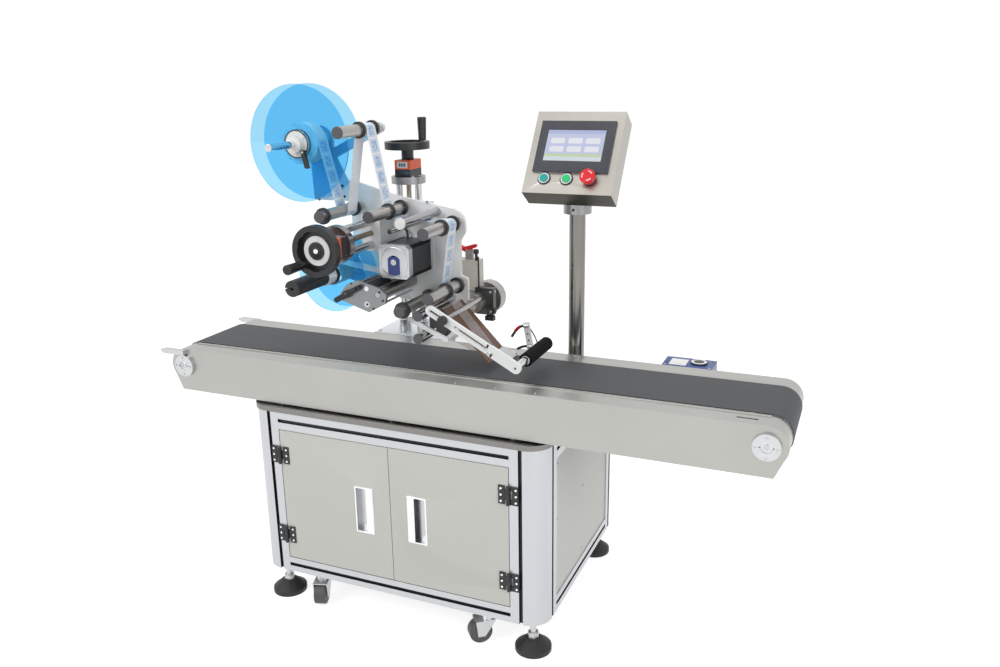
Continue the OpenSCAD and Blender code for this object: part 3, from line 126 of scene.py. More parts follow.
class Paint:
    """A finish: one Principled shader and the nodes that vary it."""

    def __init__(self, name, base, roughness, metallic=0.0, **fixed):
        self.material = bpy.data.materials.new(name)
        self.material.use_nodes = True
        self.tree = self.material.node_tree
        self.shader = self.tree.nodes["Principled BSDF"]
        self.base = (*base, 1.0)
        self.set(**{"Base Color": self.base, "Roughness": roughness, "Metallic": metallic, **fixed})

    def plug(self, socket, value):
        if isinstance(value, Wire):
            self.tree.links.new(value.socket, socket)
        else:
            socket.default_value = value

    def set(self, **sockets):
        for name, value in sockets.items():
            self.plug(self.shader.inputs[name.replace("_", " ")], value)
        return self

    def node(self, kind, settings, values, output=0):
        node = self.tree.nodes.new(kind)
        for key, value in settings.items():
            setattr(node, key, value)
        for socket, value in values.items():
            self.plug(node.inputs[socket], value)
        return Wire(self, node.outputs[output])

    def maths(self, operation, *values):
        return self.node("ShaderNodeMath", {"operation": operation}, dict(enumerate(values)))

    def place(self, stretch=(1, 1, 1)):
        """Object coordinates, stretched where a pattern runs one way."""
        spot = self.node("ShaderNodeTexCoord", {}, {}, "Object")
        return self.node("ShaderNodeMapping", {}, {"Vector": spot, "Scale": stretch})

    def axes(self, place):
        split = self.node("ShaderNodeSeparateXYZ", {}, {"Vector": place})
        return [Wire(self, split.socket.node.outputs[k]) for k in range(3)]

    def noise(self, place, scale, detail=3.0, rough=0.5):
        values = {"Vector": place, "Scale": scale, "Detail": detail, "Roughness": rough}
        return self.node("ShaderNodeTexNoise", {}, values)

    def blend(self, mask, first, second):
        return self.node("ShaderNodeMix", {"data_type": "RGBA"}, {0: mask, 6: first, 7: second}, 2)

    def tinted(self, mask, low, high):
        """A base colour that runs between two shades of itself."""
        return self.set(Base_Color=self.blend(mask, shade(self.base, low), shade(self.base, high)))

    def relief(self, height, strength, depth):
        """Small relief, its depth in millimetres."""
        values = {"Height": height, "Strength": strength, "Distance": depth * MM}
        return self.set(Normal=self.node("ShaderNodeBump", {}, values))


def sheet_metal(name, base, grain=X, rough=0.3, contrast=0.12):
    """Brushed sheet: fine streaks along the grain, and broad dull patches."""
    along, across = 6, 900
    paint = Paint(name, base, rough, 1.0)
    streak = paint.noise(paint.place(tuple(along if axis else across for axis in grain)), 1.0, 4.0)
    patch = paint.noise(paint.place(), 5.0, 2.0)
    paint.tinted(patch * 0.7 + streak * 0.3, 1 - contrast, 1 + contrast)
    paint.set(Roughness=streak * 0.16 + patch * 0.1 + (rough - 0.13))
    return paint.relief(streak, 0.12, 0.2)


def turned_metal(name, base, rough=0.22):
    """Machined metal: faint uneven sheen and hairline marks."""
    paint = Paint(name, base, rough, 1.0)
    mark = paint.noise(paint.place((260, 260, 260)), 1.0, 5.0, 0.7)
    haze = paint.noise(paint.place(), 18.0, 2.0)
    paint.tinted(haze, 0.9, 1.06)
    paint.set(Roughness=mark * 0.14 + haze * 0.08 + (rough - 0.11))
    return paint.relief(mark, 0.06, 0.1)


def powder_coat(name, base, rough=0.42):
    """Powder coat: orange peel, with a slight change of colour over the panel."""
    paint = Paint(name, base, rough, 0.0, **{"Coat Weight": 0.15, "Coat Roughness": 0.25})
    peel = paint.noise(paint.place(), 520.0, 2.0)
    drift = paint.noise(paint.place(), 3.0, 2.0)
    paint.tinted(drift, 0.97, 1.03)
    paint.set(Roughness=peel * 0.12 + (rough - 0.06))
    return paint.relief(peel, 0.1, 0.25)


def moulded(name, base, rough=0.45, grain=0.2, **fixed):
    """Moulded plastic or rubber: fine spark texture and worn, paler places."""
    paint = Paint(name, base, rough, 0.0, **fixed)
    spark = paint.noise(paint.place(), 1400.0, 2.0)
    wear = paint.noise(paint.place(), 40.0, 4.0, 0.6)
    paint.tinted(wear, 0.85, 1.2)
    paint.set(Roughness=spark * 0.1 + wear * 0.12 + (rough - 0.11))
    return paint.relief(spark, grain, 0.15)


def clear_sheet(name, base, rough=0.02):
    """Clear acrylic sheet, barely hazed, with faint scratches."""
    fixed = {"Transmission Weight": 1.0, "IOR": 1.12, "Specular IOR Level": 0.6}
    paint = Paint(name, base, rough, 0.0, **fixed)
    scratch = paint.noise(paint.place((30, 30, 900)), 1.0, 4.0)
    paint.tinted(scratch, 0.97, 1.02)
    return paint.set(Roughness=scratch * 0.04 + rough)


def belt_cloth(name, base):
    """Belt cover: matt, with a fine fabric imprint and pale scuffs along its run."""
    coarse, fine = 200, 1500
    paint = Paint(name, base, 0.6)
    across = paint.noise(paint.place((fine, coarse, coarse)), 1.0, 1.0)
    along = paint.noise(paint.place((coarse, fine, coarse)), 1.0, 1.0)
    scuff = paint.noise(paint.place((2.5, 30, 2.5)), 1.0, 5.0, 0.65)
    paint.tinted(scuff, 0.75, 1.35)
    paint.set(Roughness=scuff * 0.2 + 0.48)
    return paint.relief(across * along, 0.35, 0.25)


def threaded(name, base, pitch=3, axis=2):
    """Bright screw: thread rings at a pitch in millimetres along one axis, unevenly oiled."""
    paint = Paint(name, base, 0.3, 1.0)
    along = paint.axes(paint.place())[axis]
    thread = paint.maths("SINE", along * (2 * pi / (pitch * MM)))
    oil = paint.noise(paint.place(), 30.0, 3.0)
    paint.tinted(oil, 0.6, 1.2).set(Roughness=oil * 0.2 + 0.2)
    return paint.relief(thread, 0.6, 0.5)


def glowing(name, base, strength=0.75):
    """A lit part of the screen, unevenly lit."""
    paint = Paint(name, shade(base, 0.25)[:3], 0.2, 0.0, **{"Emission Strength": strength})
    drift = paint.noise(paint.place(), 14.0, 2.0)
    return paint.set(Emission_Color=paint.blend(drift, shade(base, 0.92), shade(base, 1.06)))


profile_finish = sheet_metal("anodised_profile", (0.54, 0.55, 0.575), Z, 0.36, 0.06)
panel_finish = powder_coat("panel_powder_coat", (0.66, 0.67, 0.62))
white_finish = powder_coat("white_powder_coat", (0.84, 0.85, 0.85), 0.35)
beam_finish = sheet_metal("brushed_beam", (0.43, 0.427, 0.405), X, 0.34)
box_finish = sheet_metal("brushed_box", (0.47, 0.45, 0.41), X, 0.36)
# Darker copy of the brushed box finish for the panel box's underside: painted shade where the box faces
# down.
box_painted_shade_finish = sheet_metal("brushed_box_painted_shade", (0.13, 0.12, 0.105), X, 0.45)
table_finish = sheet_metal("brushed_tabletop", (0.24, 0.235, 0.225), X, 0.42)
belt_finish = belt_cloth("belt_cover", (0.040, 0.043, 0.048))
ground_finish = turned_metal("ground_steel", (0.66, 0.67, 0.69), 0.18)
chrome_finish = turned_metal("polished_chrome", (0.82, 0.83, 0.85), 0.09)
zinc_finish = turned_metal("zinc_plate", (0.56, 0.57, 0.58), 0.3)
roller_finish = turned_metal("anodised_roller", (0.42, 0.41, 0.395), 0.32)
rod_finish = turned_metal("polished_rod", (0.40, 0.40, 0.41), 0.16)
flange_finish = turned_metal("turned_flange", (0.31, 0.31, 0.32), 0.25)
pole_finish = turned_metal("panel_pole_tube", (0.25, 0.24, 0.23), 0.2)
drum_finish = turned_metal("drum_casting", (0.42, 0.415, 0.40), 0.45)
clamp_finish = turned_metal("dark_clamp", (0.09, 0.09, 0.088), 0.4)
casting_finish = turned_metal("cast_aluminium", (0.60, 0.61, 0.62), 0.38)
nip_finish = sheet_metal("grey_nip_plate", (0.25, 0.265, 0.27), X, 0.38)
black_finish = moulded("black_plastic", (0.014, 0.015, 0.017), 0.38)
rubber_finish = moulded("black_rubber", (0.02, 0.02, 0.022), 0.55)
grip_finish = moulded("black_grip", (0.011, 0.011, 0.012), 0.28)
tread_finish = moulded("caster_tread", (0.09, 0.09, 0.095), 0.5)
motor_finish = powder_coat("motor_black", (0.02, 0.021, 0.024), 0.4)
gear_motor_finish = powder_coat("gear_motor_blue", (0.02, 0.055, 0.23), 0.35)
orange_finish = moulded("counter_orange", (0.80, 0.10, 0.02), 0.35)
red_finish = moulded("stop_red", (0.72, 0.012, 0.02), 0.25, 0.05)
green_finish = moulded("start_green", (0.02, 0.55, 0.19), 0.2, 0.05)
teal_finish = moulded("reset_teal", (0.01, 0.36, 0.33), 0.22, 0.05)
dial_finish = moulded("dial_white", (0.80, 0.81, 0.80), 0.3, 0.05)
peel_finish = powder_coat("peel_brown", (0.135, 0.068, 0.042), 0.55)
module_finish = powder_coat("module_grey", (0.33, 0.35, 0.36), 0.5)
disc_finish = clear_sheet("blue_acrylic", (0.35, 0.72, 0.95))
roll_finish = moulded("wound_labels", (0.78, 0.84, 0.88), 0.5, 0.1)
window_finish = moulded("counter_window", (0.70, 0.68, 0.62), 0.15, 0.0)
cap_finish = moulded("roller_cap", (0.085, 0.087, 0.095), 0.4)
sheet_box_finish = powder_coat("beige_sheet", (0.62, 0.60, 0.54), 0.45)
foam_finish = moulded("press_foam", (0.006, 0.006, 0.007), 0.85, 0.4, **{"Specular IOR Level": 0.12})
bezel_finish = moulded("screen_bezel", (0.045, 0.048, 0.06), 0.35)
blue_plate_finish = powder_coat("bare_blue_plate", (0.018, 0.05, 0.26), 0.3)
spindle_finish = threaded("threaded_spindle", (0.42, 0.36, 0.27))
screen_finish = glowing("screen_field", (0.50, 0.54, 0.72))
glow_green_finish = glowing("screen_green", (0.50, 0.62, 0.36))
glow_foot_finish = glowing("screen_foot", (0.60, 0.66, 0.72))
glow_blue_finish = glowing("screen_header", (0.40, 0.44, 0.66))
glow_key_finish = glowing("screen_key", (0.74, 0.74, 0.80))

# Making pieces, in the millimetres of the drawing

ORIGIN = Vector((-13, 228, 0))
HAIR = 0.1


def piece(name, bm, finishes, body, replaces=(), sharp=35):
    """Turns a bmesh into an object that rides on a body, with the given finishes as its materials."""
    mesh = bpy.data.meshes.new(name)
    bm.to_mesh(mesh)
    bm.free()
    made = bpy.data.objects.new(name, mesh)
    bpy.context.scene.collection.objects.link(made)
    for finish in finishes if isinstance(finishes, list) else [finishes]:
        mesh.materials.append(finish.material)
    mesh.shade_smooth()
    mesh.set_sharp_from_angle(angle=radians(sharp))
    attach(made, body)
    for node in replaces:
        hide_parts(node)
    return made


def softened(made, width):
    """Breaks the edges of a piece."""
    edge = made.modifiers.new("broken_edges", "BEVEL")
    edge.width, edge.segments = width * MM, 2
    edge.limit_method, edge.angle_limit = "ANGLE", radians(32)
    edge.harden_normals = True
    return made


def zone(low, high):
    """A test of whether a face's middle lies between two corners; None leaves a side open."""
    slack = 0.01

    def test(middle):
        above = all(end is None or place >= end - slack for place, end in zip(middle, low))
        return above and all(end is None or place <= end + slack for place, end in zip(middle, high))
    return test


def y_zone(low, high):
    return zone((None, low, None), (None, high, None))


def z_zone(low, high):
    return zone((None, None, low), (None, None, high))


def bands(test, *rows):
    """Choices of finish for y_zone or z_zone, from rows of (finish number, low, high)."""
    return [(index, test(low, high)) for index, low, high in rows]


def refined(node, finishes, choices=(), cuts=(), width=0.6):
    """A copy of a node with its flat faces joined, cut where a finish ends, painted and softened."""
    source = frame["nodes"][node]
    bm = bmesh.new()
    bm.from_mesh(source.data)
    bmesh.ops.remove_doubles(bm, verts=bm.verts, dist=0.01 * MM)
    bmesh.ops.dissolve_limit(bm, angle_limit=radians(1), verts=bm.verts, edges=bm.edges)
    for axis, level in cuts:
        place = (Vector((level, level, level)) - ORIGIN) * MM
        everything = bm.verts[:] + bm.edges[:] + bm.faces[:]
        bmesh.ops.bisect_plane(bm, geom=everything, plane_co=place, plane_no=axis)
    for face in bm.faces:
        middle = face.calc_center_median() / MM + ORIGIN
        face.material_index = next((index for index, test in choices if test(middle)), 0)
    made = piece(node + "_shell", bm, finishes, source["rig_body"], [node])
    return softened(made, width) if width else made


class Shape:
    """A mesh under construction."""

    def __init__(self):
        self.bm = bmesh.new()

    def hoop(self, r, place=(0, 0, 0), turn=None, parts=96, wave=0.0, cap=False):
        """A circle's edges, drawn in towards its middle at nine scallops where a wave is given."""
        made = bmesh.ops.create_circle(self.bm, cap_ends=cap, radius=r, segments=parts)["verts"]
        for vert in made:
            vert.co *= 1 - wave * max(0.0, cos(9 * atan2(vert.co.y, vert.co.x)))
        bmesh.ops.transform(self.bm, verts=made, matrix=Matrix.LocRotScale(Vector(place), turn, None))
        return list({edge for vert in made for edge in vert.link_edges})

    def skinned(self, rings, closed=False):
        """Bridges loops of edges in turn, and the last to the first where closed."""
        for low, high in zip(rings, rings[1:] + rings[:1] if closed else rings[1:]):
            bmesh.ops.bridge_loops(self.bm, edges=low + high)
        return self

    def turned(self, place, axis, profile, parts=28):
        """Spins a profile of (radius, distance along the axis), into a ring where it ends level."""
        place, axis = Vector(place), Vector(axis).normalized()
        side = axis.orthogonal().normalized()
        ring = profile[0][1] == profile[-1][1]
        spots = profile if ring else [(0, profile[0][1]), *profile, (0, profile[-1][1])]
        verts = [self.bm.verts.new(place + axis * h + side * r) for r, h in spots]
        pairs = zip(verts, verts[1:] + verts[:1] if ring else verts[1:])
        edges = [self.bm.edges.new(pair) for pair in pairs]
        bmesh.ops.spin(self.bm, geom=verts + edges, cent=place, axis=axis, angle=2 * pi, steps=parts,
                       use_merge=True)
        bmesh.ops.remove_doubles(self.bm, verts=self.bm.verts, dist=0.001)
        return self

    def rod(self, start, end, d, parts=20):
        start, end = Vector(start), Vector(end)
        spot = Matrix.LocRotScale((start + end) / 2, (end - start).to_track_quat("Z", "Y"), None)
        bmesh.ops.create_cone(self.bm, cap_ends=True, segments=parts, radius1=d / 2, radius2=d / 2,
                              depth=(end - start).length, matrix=spot)
        return self

    def box(self, low, high):
        low, high = Vector(low), Vector(high)
        spot = Matrix.LocRotScale((low + high) / 2, None, high - low)
        bmesh.ops.create_cube(self.bm, size=1, matrix=spot)
        return self

    def slab(self, outline, front, back):
        """A plate across Y, from an outline of (x, z)."""
        face = self.bm.faces.new([self.bm.verts.new((x, front, z)) for x, z in outline])
        made = bmesh.ops.extrude_face_region(self.bm, geom=[face])["geom"]
        moved = [part for part in made if isinstance(part, bmesh.types.BMVert)]
        bmesh.ops.translate(self.bm, verts=moved, vec=(0, back - front, 0))
        return self

    def screw(self, place, axis, d, h):
        """Socket head screw, its socket open along the axis."""
        r, edge, rim, socket = d / 2, d * 0.08, d * 0.26, d * 0.23
        profile = [(r, 0), (r, h - edge), (r - edge, h), (rim, h), (socket, h * 0.4)]
        return self.turned(place, axis, profile, 18)

    def cable(self, spots, d, parts=10):
        """A round cable through the given places."""
        spots = [Vector(spot) for spot in spots]
        last = len(spots) - 1
        rings = []
        for k, spot in enumerate(spots):
            turn = (spots[min(k + 1, last)] - spots[max(k - 1, 0)]).to_track_quat("Z", "Y")
            rings.append(self.hoop(d / 2, spot, turn, parts, cap=k in (0, last)))
        return self.skinned(rings)

    def done(self, name, finishes, body, like, replaces=(), move=None, width=0.0, sharp=35):
        """Takes the shape from the drawing to the frame and makes it a piece."""
        if move:
            self.bm.transform(move)
        bmesh.ops.recalc_face_normals(self.bm, faces=self.bm.faces)
        for vert in self.bm.verts:
            vert.co = (vert.co - ORIGIN) * MM
        made = piece(name, self.bm, finishes, body, replaces, sharp)
        return softened(made, width) if width else made


def curve(first, second, third, steps=8):
    """Places on a smooth bend from the first to the third, drawn towards the second."""
    first, second, third = Vector(first), Vector(second), Vector(third)
    shares = [k / steps for k in range(steps + 1)]
    return [first * (1 - t) ** 2 + second * 2 * t * (1 - t) + third * t * t for t in shares]


def around(count, first=0.0):
    """Unit offsets of a ring of places, the first at an angle in degrees."""
    angles = [radians(first) + 2 * pi * k / count for k in range(count)]
    return [(cos(angle), sin(angle)) for angle in angles]


# Cabinet, feet and casters

FRONT, DEEP, LEFT, RIGHT = -14, 620, -572, 288
MIDDLE = (LEFT + RIGHT) / 2
FOOT_H, FRAME_LOW, TABLE_TOP = 36, 96, 594
POST, CORE, SLOT = 92, 58, 10


def frame_regions():
    """Black on the faces inside the slots to their depth, black hinges, zinc caster plates and rear forks.
    """
    slot_depth, low_rail, top_rail, over = 8.1, FRAME_LOW + 17, 550, 580
    faces = ((FRONT + HAIR, FRONT + slot_depth), (DEEP - slot_depth, DEEP - HAIR))
    sides = ((LEFT + HAIR, LEFT + slot_depth), (RIGHT - slot_depth, RIGHT - HAIR))
    black_slot_faces = []
    for low in (low_rail, top_rail):
        high = low + SLOT
        black_slot_faces += [zone((LEFT + POST, near, low), (RIGHT - POST, far, high)) for near, far in faces]
        black_slot_faces += [zone((near, FRONT + POST, low), (far, DEEP - POST, high)) for near, far in sides]
    for x in (LEFT + CORE, RIGHT - CORE - SLOT):
        black_slot_faces += [zone((x, near, FRAME_LOW), (x + SLOT, far, over)) for near, far in faces]
    for y in (FRONT + CORE, DEEP - CORE - SLOT):
        black_slot_faces += [zone((near, y, FRAME_LOW), (far, y + SLOT, over)) for near, far in sides]
    hinges = y_zone(None, FRONT - HAIR)
    return [(2, z_zone(None, FRAME_LOW - HAIR)), (1, hinges)] + [(1, test) for test in black_slot_faces]


def door_regions(side):
    """The bright rim and zinc dish of a door's pull, and its black hinge leaves."""
    pull = MIDDLE + side * 79
    return [(1, zone((pull - 29, None, 250), (pull + 29, FRONT - HAIR, 410))),
            (3, y_zone(None, FRONT - HAIR)),
            (2, zone((pull - 27, FRONT + HAIR, 260), (pull + 27, 4, 400)))]


refined("cabinet_frame", [profile_finish, black_finish, zinc_finish], frame_regions(), width=0.5)
refined("side_panels", panel_finish)
refined("tabletop", [table_finish, zinc_finish], bands(z_zone, (1, TABLE_TOP + 0.05, None)))
for node, side in (("left_door", -1), ("right_door", 1)):
    refined(node, [panel_finish, chrome_finish, zinc_finish, black_finish], door_regions(side))
refined("levelling_feet", [rubber_finish, zinc_finish], bands(z_zone, (1, FOOT_H + HAIR, None)))
for node in ("caster_fork_left", "caster_fork_right"):
    refined(node, zinc_finish)
for k in range(1, 5):
    refined("caster_wheel_%d" % k, tread_finish, width=2.5)


def hinge_screws():
    """Screws of the door hinges: the fixed leaves' stay, the moving leaves' swing with the doors."""
    leaf_t, leaf_mid, pitch = 3, 20, 17
    heights = [hinge + up for hinge in (214.5, 455.5) for up in (-pitch, 0, pitch)]
    for door, side, pin_x in (("left_door", -1, -479), ("right_door", 1, 195)):
        fixed, moving = Shape(), Shape()
        for z in heights:
            fixed.screw((pin_x + side * leaf_mid, FRONT - leaf_t, z), -Y, 6, 1.6)
            moving.screw((pin_x - side * leaf_mid, FRONT - leaf_t, z), -Y, 6, 1.6)
        fixed.done(door + "_frame_screws", chrome_finish, "machine", "cabinet_frame")
        moving.done(door + "_leaf_screws", chrome_finish, door, door)


def foot_details():
    """Ribs round the foot cones, and the flat nuts on the stems."""
    inset, foot_r, neck_r = 48, 46, 20
    ribs, nuts = Shape(), Shape()
    for x in (LEFT + inset, RIGHT - inset):
        for y in (FRONT + inset, DEEP - inset):
            nuts.turned((x, y, FRAME_LOW - 8), Z, [(15, 0), (15, 7.5)], 6)
            nuts.turned((x, y, 50), Z, [(12, 0), (12, 2)], 24)
            for across, deep in around(12):
                foot = (x + foot_r * across, y + foot_r * deep, 9)
                ribs.rod(foot, (x + neck_r * across, y + neck_r * deep, 33), 4, 8)
    ribs.done("foot_ribs", rubber_finish, "machine", "levelling_feet")
    nuts.done("foot_nuts", zinc_finish, "machine", "cabinet_frame", width=0.6)


def panel_details():
    """Screws of the side and back panels, and black strips in the back painted as the shade inside its
    vents.
    """
    panel_inset = 3
    screws, vents = Shape(), Shape()
    for z in (160, 355, 510):
        for y in (90, 303, 516):
            for x, out in ((LEFT + panel_inset, -1), (RIGHT - panel_inset, 1)):
                screws.screw((x, y, z), X * out, 7, 1.8)
        for x in (MIDDLE - 318, MIDDLE, MIDDLE + 318):
            screws.screw((x, DEEP - panel_inset, z), Y, 7, 1.8)
    # Thin black strips stand for the vents: painted shade inside the openings.
    for row in range(9):
        z = 300 + row * 12
        vents.box((MIDDLE - 90, DEEP - 3.2, z), (MIDDLE + 90, DEEP - 2.4, z + 4))
    screws.done("panel_screws", zinc_finish, "machine", "cabinet_frame")
    vents.done("back_vent_painted_shade", black_finish, "machine", "levelling_feet")


hinge_screws()
foot_details()
panel_details()


def gear_regions():
    """Power supply, motor driver, controller and wire duct, each in front of the mounting plate."""
    plate = 573 - HAIR
    boxes = (((-448, 520, 200), (-270, plate, 330)), ((-236, 500, 190), (-130, plate, 370)),
             ((-60, 490, 190), (90, plate, 320)), ((None, 530, 430), (None, plate, 480)))
    return [(index + 1, zone(low, high)) for index, (low, high) in enumerate(boxes)]


def gear_details():
    """Terminals and wires of the modules on the mounting plate, and black strips painted as the shade inside
    the supply's ventilation slots and the duct's slots.
    """
    left, low = MIDDLE - 298, 170
    supply, controller, duct = left + 46, left + 426, left + 28
    # The dark shape's thin black boxes stand for the ventilation and duct slots: painted shade inside the
    # openings.
    dark, terminals, wires = Shape(), Shape(), Shape()
    for k in range(14):
        x = supply + k * 10.5
        terminals.box((x, 531, low + 62), (x + 8, 535.4, low + 72))
        dark.box((x, 534.5, low + 88), (x + 5, 535.4, low + 150))
    for k in range(12):
        x = controller + k * 10
        terminals.box((x, 493, low + 62), (x + 7, 497.4, low + 72))
        bend = curve((x + 3, 495, low + 150), (x + 3, 500, low + 240), (left + 400 + k * 12, 545, low + 272))
        wires.cable(bend, 2.2, 8)
    for k in range(8):
        x = supply + 24 + k * 14
        bend = curve((x, 533, low + 62), (x, 520, low + 20), (left + 262 + k * 8, 514, low + 52))
        wires.cable(bend, 2.4, 8)
    for k in range(46):
        x = duct + k * 13
        dark.box((x, 532.5, low + 276), (x + 5, 533.4, low + 296))
    dark.done("module_slot_painted_shade", black_finish, "machine", "levelling_feet")
    terminals.done("module_terminals", green_finish, "machine", "control_gear")
    wires.done("module_wires", red_finish, "machine", "control_gear")


refined("control_gear", [zinc_finish, casting_finish, motor_finish, module_finish, dial_finish],
        gear_regions())
gear_details()

# Conveyor

BELT = 723
BEAM_TOP, WIDE = BELT - 3, 330
ROLLER_X, ROLLER_Z = 791, 673
CAP_T, CAP_TOP = 7, 704
GEARBOX_TOP = BELT - 7

for node in ("front_beam", "back_beam", "slider_bed"):
    refined(node, beam_finish)
refined("conveyor_belt", belt_finish, width=0)
for node in ("drive_roller", "idler_roller"):
    refined(node, ground_finish)
refined("end_bearings", [casting_finish, zinc_finish], bands(z_zone, (1, CAP_TOP, None)))
refined("conveyor_motor", [gear_motor_finish, black_finish, beam_finish],
        [(1, z_zone(GEARBOX_TOP + 0.05, None)), (2, y_zone(None, WIDE + 7.9))])


def beam_details():
    """Flange screws, and a black patch painted as the shade inside the slotted hole at the right end."""
    screws, dark = Shape(), Shape()
    for y in (12, WIDE - 12):
        for x in (-690, -516, -239, 45, 153, 255, 505, 734):
            screws.screw((x, y, BEAM_TOP), Z, 6.5, 1.2)
    ends, hole_y, hole_r, low = (722, 764), 31, 3, BEAM_TOP - HAIR
    # A black patch with round ends stands for the slotted hole: painted shade inside it.
    dark.box((ends[0], hole_y - hole_r, low), (ends[1], hole_y + hole_r, BEAM_TOP + 0.15))
    for x in ends:
        dark.turned((x, hole_y, low), Z, [(hole_r, 0), (hole_r, 0.25)], 20)
    screws.done("beam_screws", zinc_finish, "machine", "tabletop")
    dark.done("flange_slot_painted_shade", black_finish, "machine", "levelling_feet")


def bearing_details():
    """Shaft nuts in the bearing caps and the nuts and washers of the belt tension bolts."""
    bolt_z, bolt_end = 711.5, -860
    nuts = Shape()
    for x in (-ROLLER_X, ROLLER_X):
        for y, out in ((-CAP_T, -1), (WIDE + CAP_T, 1)):
            nuts.turned((x, y, ROLLER_Z), Y * out, [(9, 0), (9, 1), (8, 1.6), (3.4, 1.6), (3, 0.4)])
    for y in (-CAP_T, WIDE + CAP_T):
        nuts.turned((bolt_end, y, bolt_z), X, [(6.5, 0), (6.5, 5)], 6)
        nuts.turned((-ROLLER_X, y, bolt_z), -Z, [(5, 0), (5, 8)], 20)
    nuts.done("shaft_nuts", zinc_finish, "machine", "end_bearings")


def motor_plate():
    """Bare plate, screws and white ring on the gearbox, fins and junction box of the motor below it."""
    ring, plate, screws, blue = Shape(), Shape(), Shape(), Shape()
    ring.turned((571, 384, BEAM_TOP), Z, [(20, 0), (20, 0.5), (14, 0.5), (14, 0)])
    plate.box((498, 352, GEARBOX_TOP), (542, 402, GEARBOX_TOP + 0.6))
    for x in (490, 604):
        for y in (346, 410):
            screws.screw((x, y, GEARBOX_TOP), Z, 7, 2.4)
    for k in range(18):
        blue.turned((547, 378, 474 + k * 6.6), Z, [(41.5, 0), (41.5, 2.2)], 48)
    blue.box((590, 356, 500), (606, 398, 560))
    ring.done("gearbox_ring", dial_finish, "machine", "conveyor_motor")
    plate.done("gearbox_plate", dial_finish, "machine", "conveyor_motor")
    screws.done("gearbox_screws", zinc_finish, "machine", "end_bearings")
    blue.done("motor_fins", gear_motor_finish, "machine", "conveyor_motor", width=0.4)


beam_details()
bearing_details()
motor_plate()

# Column, cross guide and handwheels. Each guide ends in a flange, a black seat and an orange counter, and
# its wheel sits some way past the flange.

COLUMN_X, COLUMN_Y, COLUMN_TOP = -254, 368, 1178
CROSS_Z, CROSS_FRONT = BELT + 330, -26
FLANGE_T, SEAT_T, COUNTER_T, SEAM = 20, 20, 26, 0.05
LIFT_REACH, CROSS_REACH = 74, 67
COUNTER_OUT, HUB_LOW, HUB_HIGH, HUB_END = 45.2, 5.1, 9.1, 20.1
GUIDE_FINISHES = [ground_finish, flange_finish, black_finish, orange_finish, window_finish]
WHEEL_FINISHES = [black_finish, spindle_finish, dial_finish]
lift_seat, lift_wheel = COLUMN_TOP + SEAT_T, COLUMN_TOP + LIFT_REACH
cross_seat, cross_wheel = CROSS_FRONT - SEAT_T, CROSS_FRONT - CROSS_REACH

refined("column_base", [white_finish, ground_finish], bands(z_zone, (1, BEAM_TOP + HAIR, None)))
lift_window = zone((-267, 335.5, 1203), (-241, 337, 1218))
refined("lift_guide", GUIDE_FINISHES, [(4, lift_window)] + bands(
    z_zone, (1, COLUMN_TOP - FLANGE_T, COLUMN_TOP), (2, COLUMN_TOP, lift_seat),
    (3, lift_seat, lift_seat + COUNTER_T)), [(Z, COLUMN_TOP), (Z, lift_seat)])
cross_window = zone((-223, -66, 1040), (-221.5, -51, 1066))
refined("cross_guide", GUIDE_FINISHES, [(4, cross_window)] + bands(
    y_zone, (1, CROSS_FRONT, CROSS_FRONT + FLANGE_T), (2, cross_seat, CROSS_FRONT - SEAM),
    (3, cross_seat - COUNTER_T, cross_seat - SEAM)), [(Y, cross_seat), (Y, CROSS_FRONT)])
refined("lift_carriage", casting_finish, width=1.5)
refined("lift_handwheel", WHEEL_FINISHES, bands(
    z_zone, (1, None, COLUMN_TOP + COUNTER_OUT), (2, lift_wheel + HUB_LOW, lift_wheel + HUB_HIGH),
    (1, lift_wheel + HUB_END, None)), width=1.2)
refined("cross_handwheel", WHEEL_FINISHES, bands(
    y_zone, (1, CROSS_FRONT - COUNTER_OUT, None), (2, cross_wheel - HUB_HIGH, cross_wheel - HUB_LOW),
    (1, None, cross_wheel - HUB_END)), width=1.2)
refined("lift_grip", grip_finish, width=3)
refined("cross_grip", grip_finish, width=3)


def wheel_details(name, body, move):
    """Scalloped inner edge of the rim, boss ring and bright centre screw, drawn upwards from the foot."""
    rim_r, boss = 50.8, 12
    rim, bright, dark = Shape(), Shape(), Shape()
    for low, high, inner, wave in ((6, 19, 50.4, 0.048), (19, 20.4, 48.8, 0.05)):
        corners = ((rim_r, low, 0.0), (inner, low, wave), (inner, high, wave), (rim_r, high, 0.0))
        rim.skinned([rim.hoop(r, (0, 0, h), wave=dip) for r, h, dip in corners], closed=True)
    bright.turned((0, 0, boss), Z, [(6.2, 0), (6.2, 2.4), (5.4, 3.2), (2.6, 3.2), (2.3, 1)], 24)
    dark.turned((0, 0, boss), Z, [(15, 0), (15, 1), (13.4, 1), (13.4, 0.3)], 48)
    rim.done(name + "_scallops", black_finish, body, name, move=move)
    bright.done(name + "_screw", chrome_finish, body, "lift_guide", move=move)
    dark.done(name + "_boss_ring", grip_finish, body, name, move=move)


to_front = Matrix.Rotation(radians(90), 4, "X") @ Matrix.Rotation(radians(90), 4, "Z")
cross_place = Matrix.Translation((COLUMN_X, cross_wheel, CROSS_Z)) @ to_front
wheel_details("lift_handwheel", "lift_wheel", Matrix.Translation((COLUMN_X, COLUMN_Y, lift_wheel)))
wheel_details("cross_handwheel", "cross_wheel", cross_place)


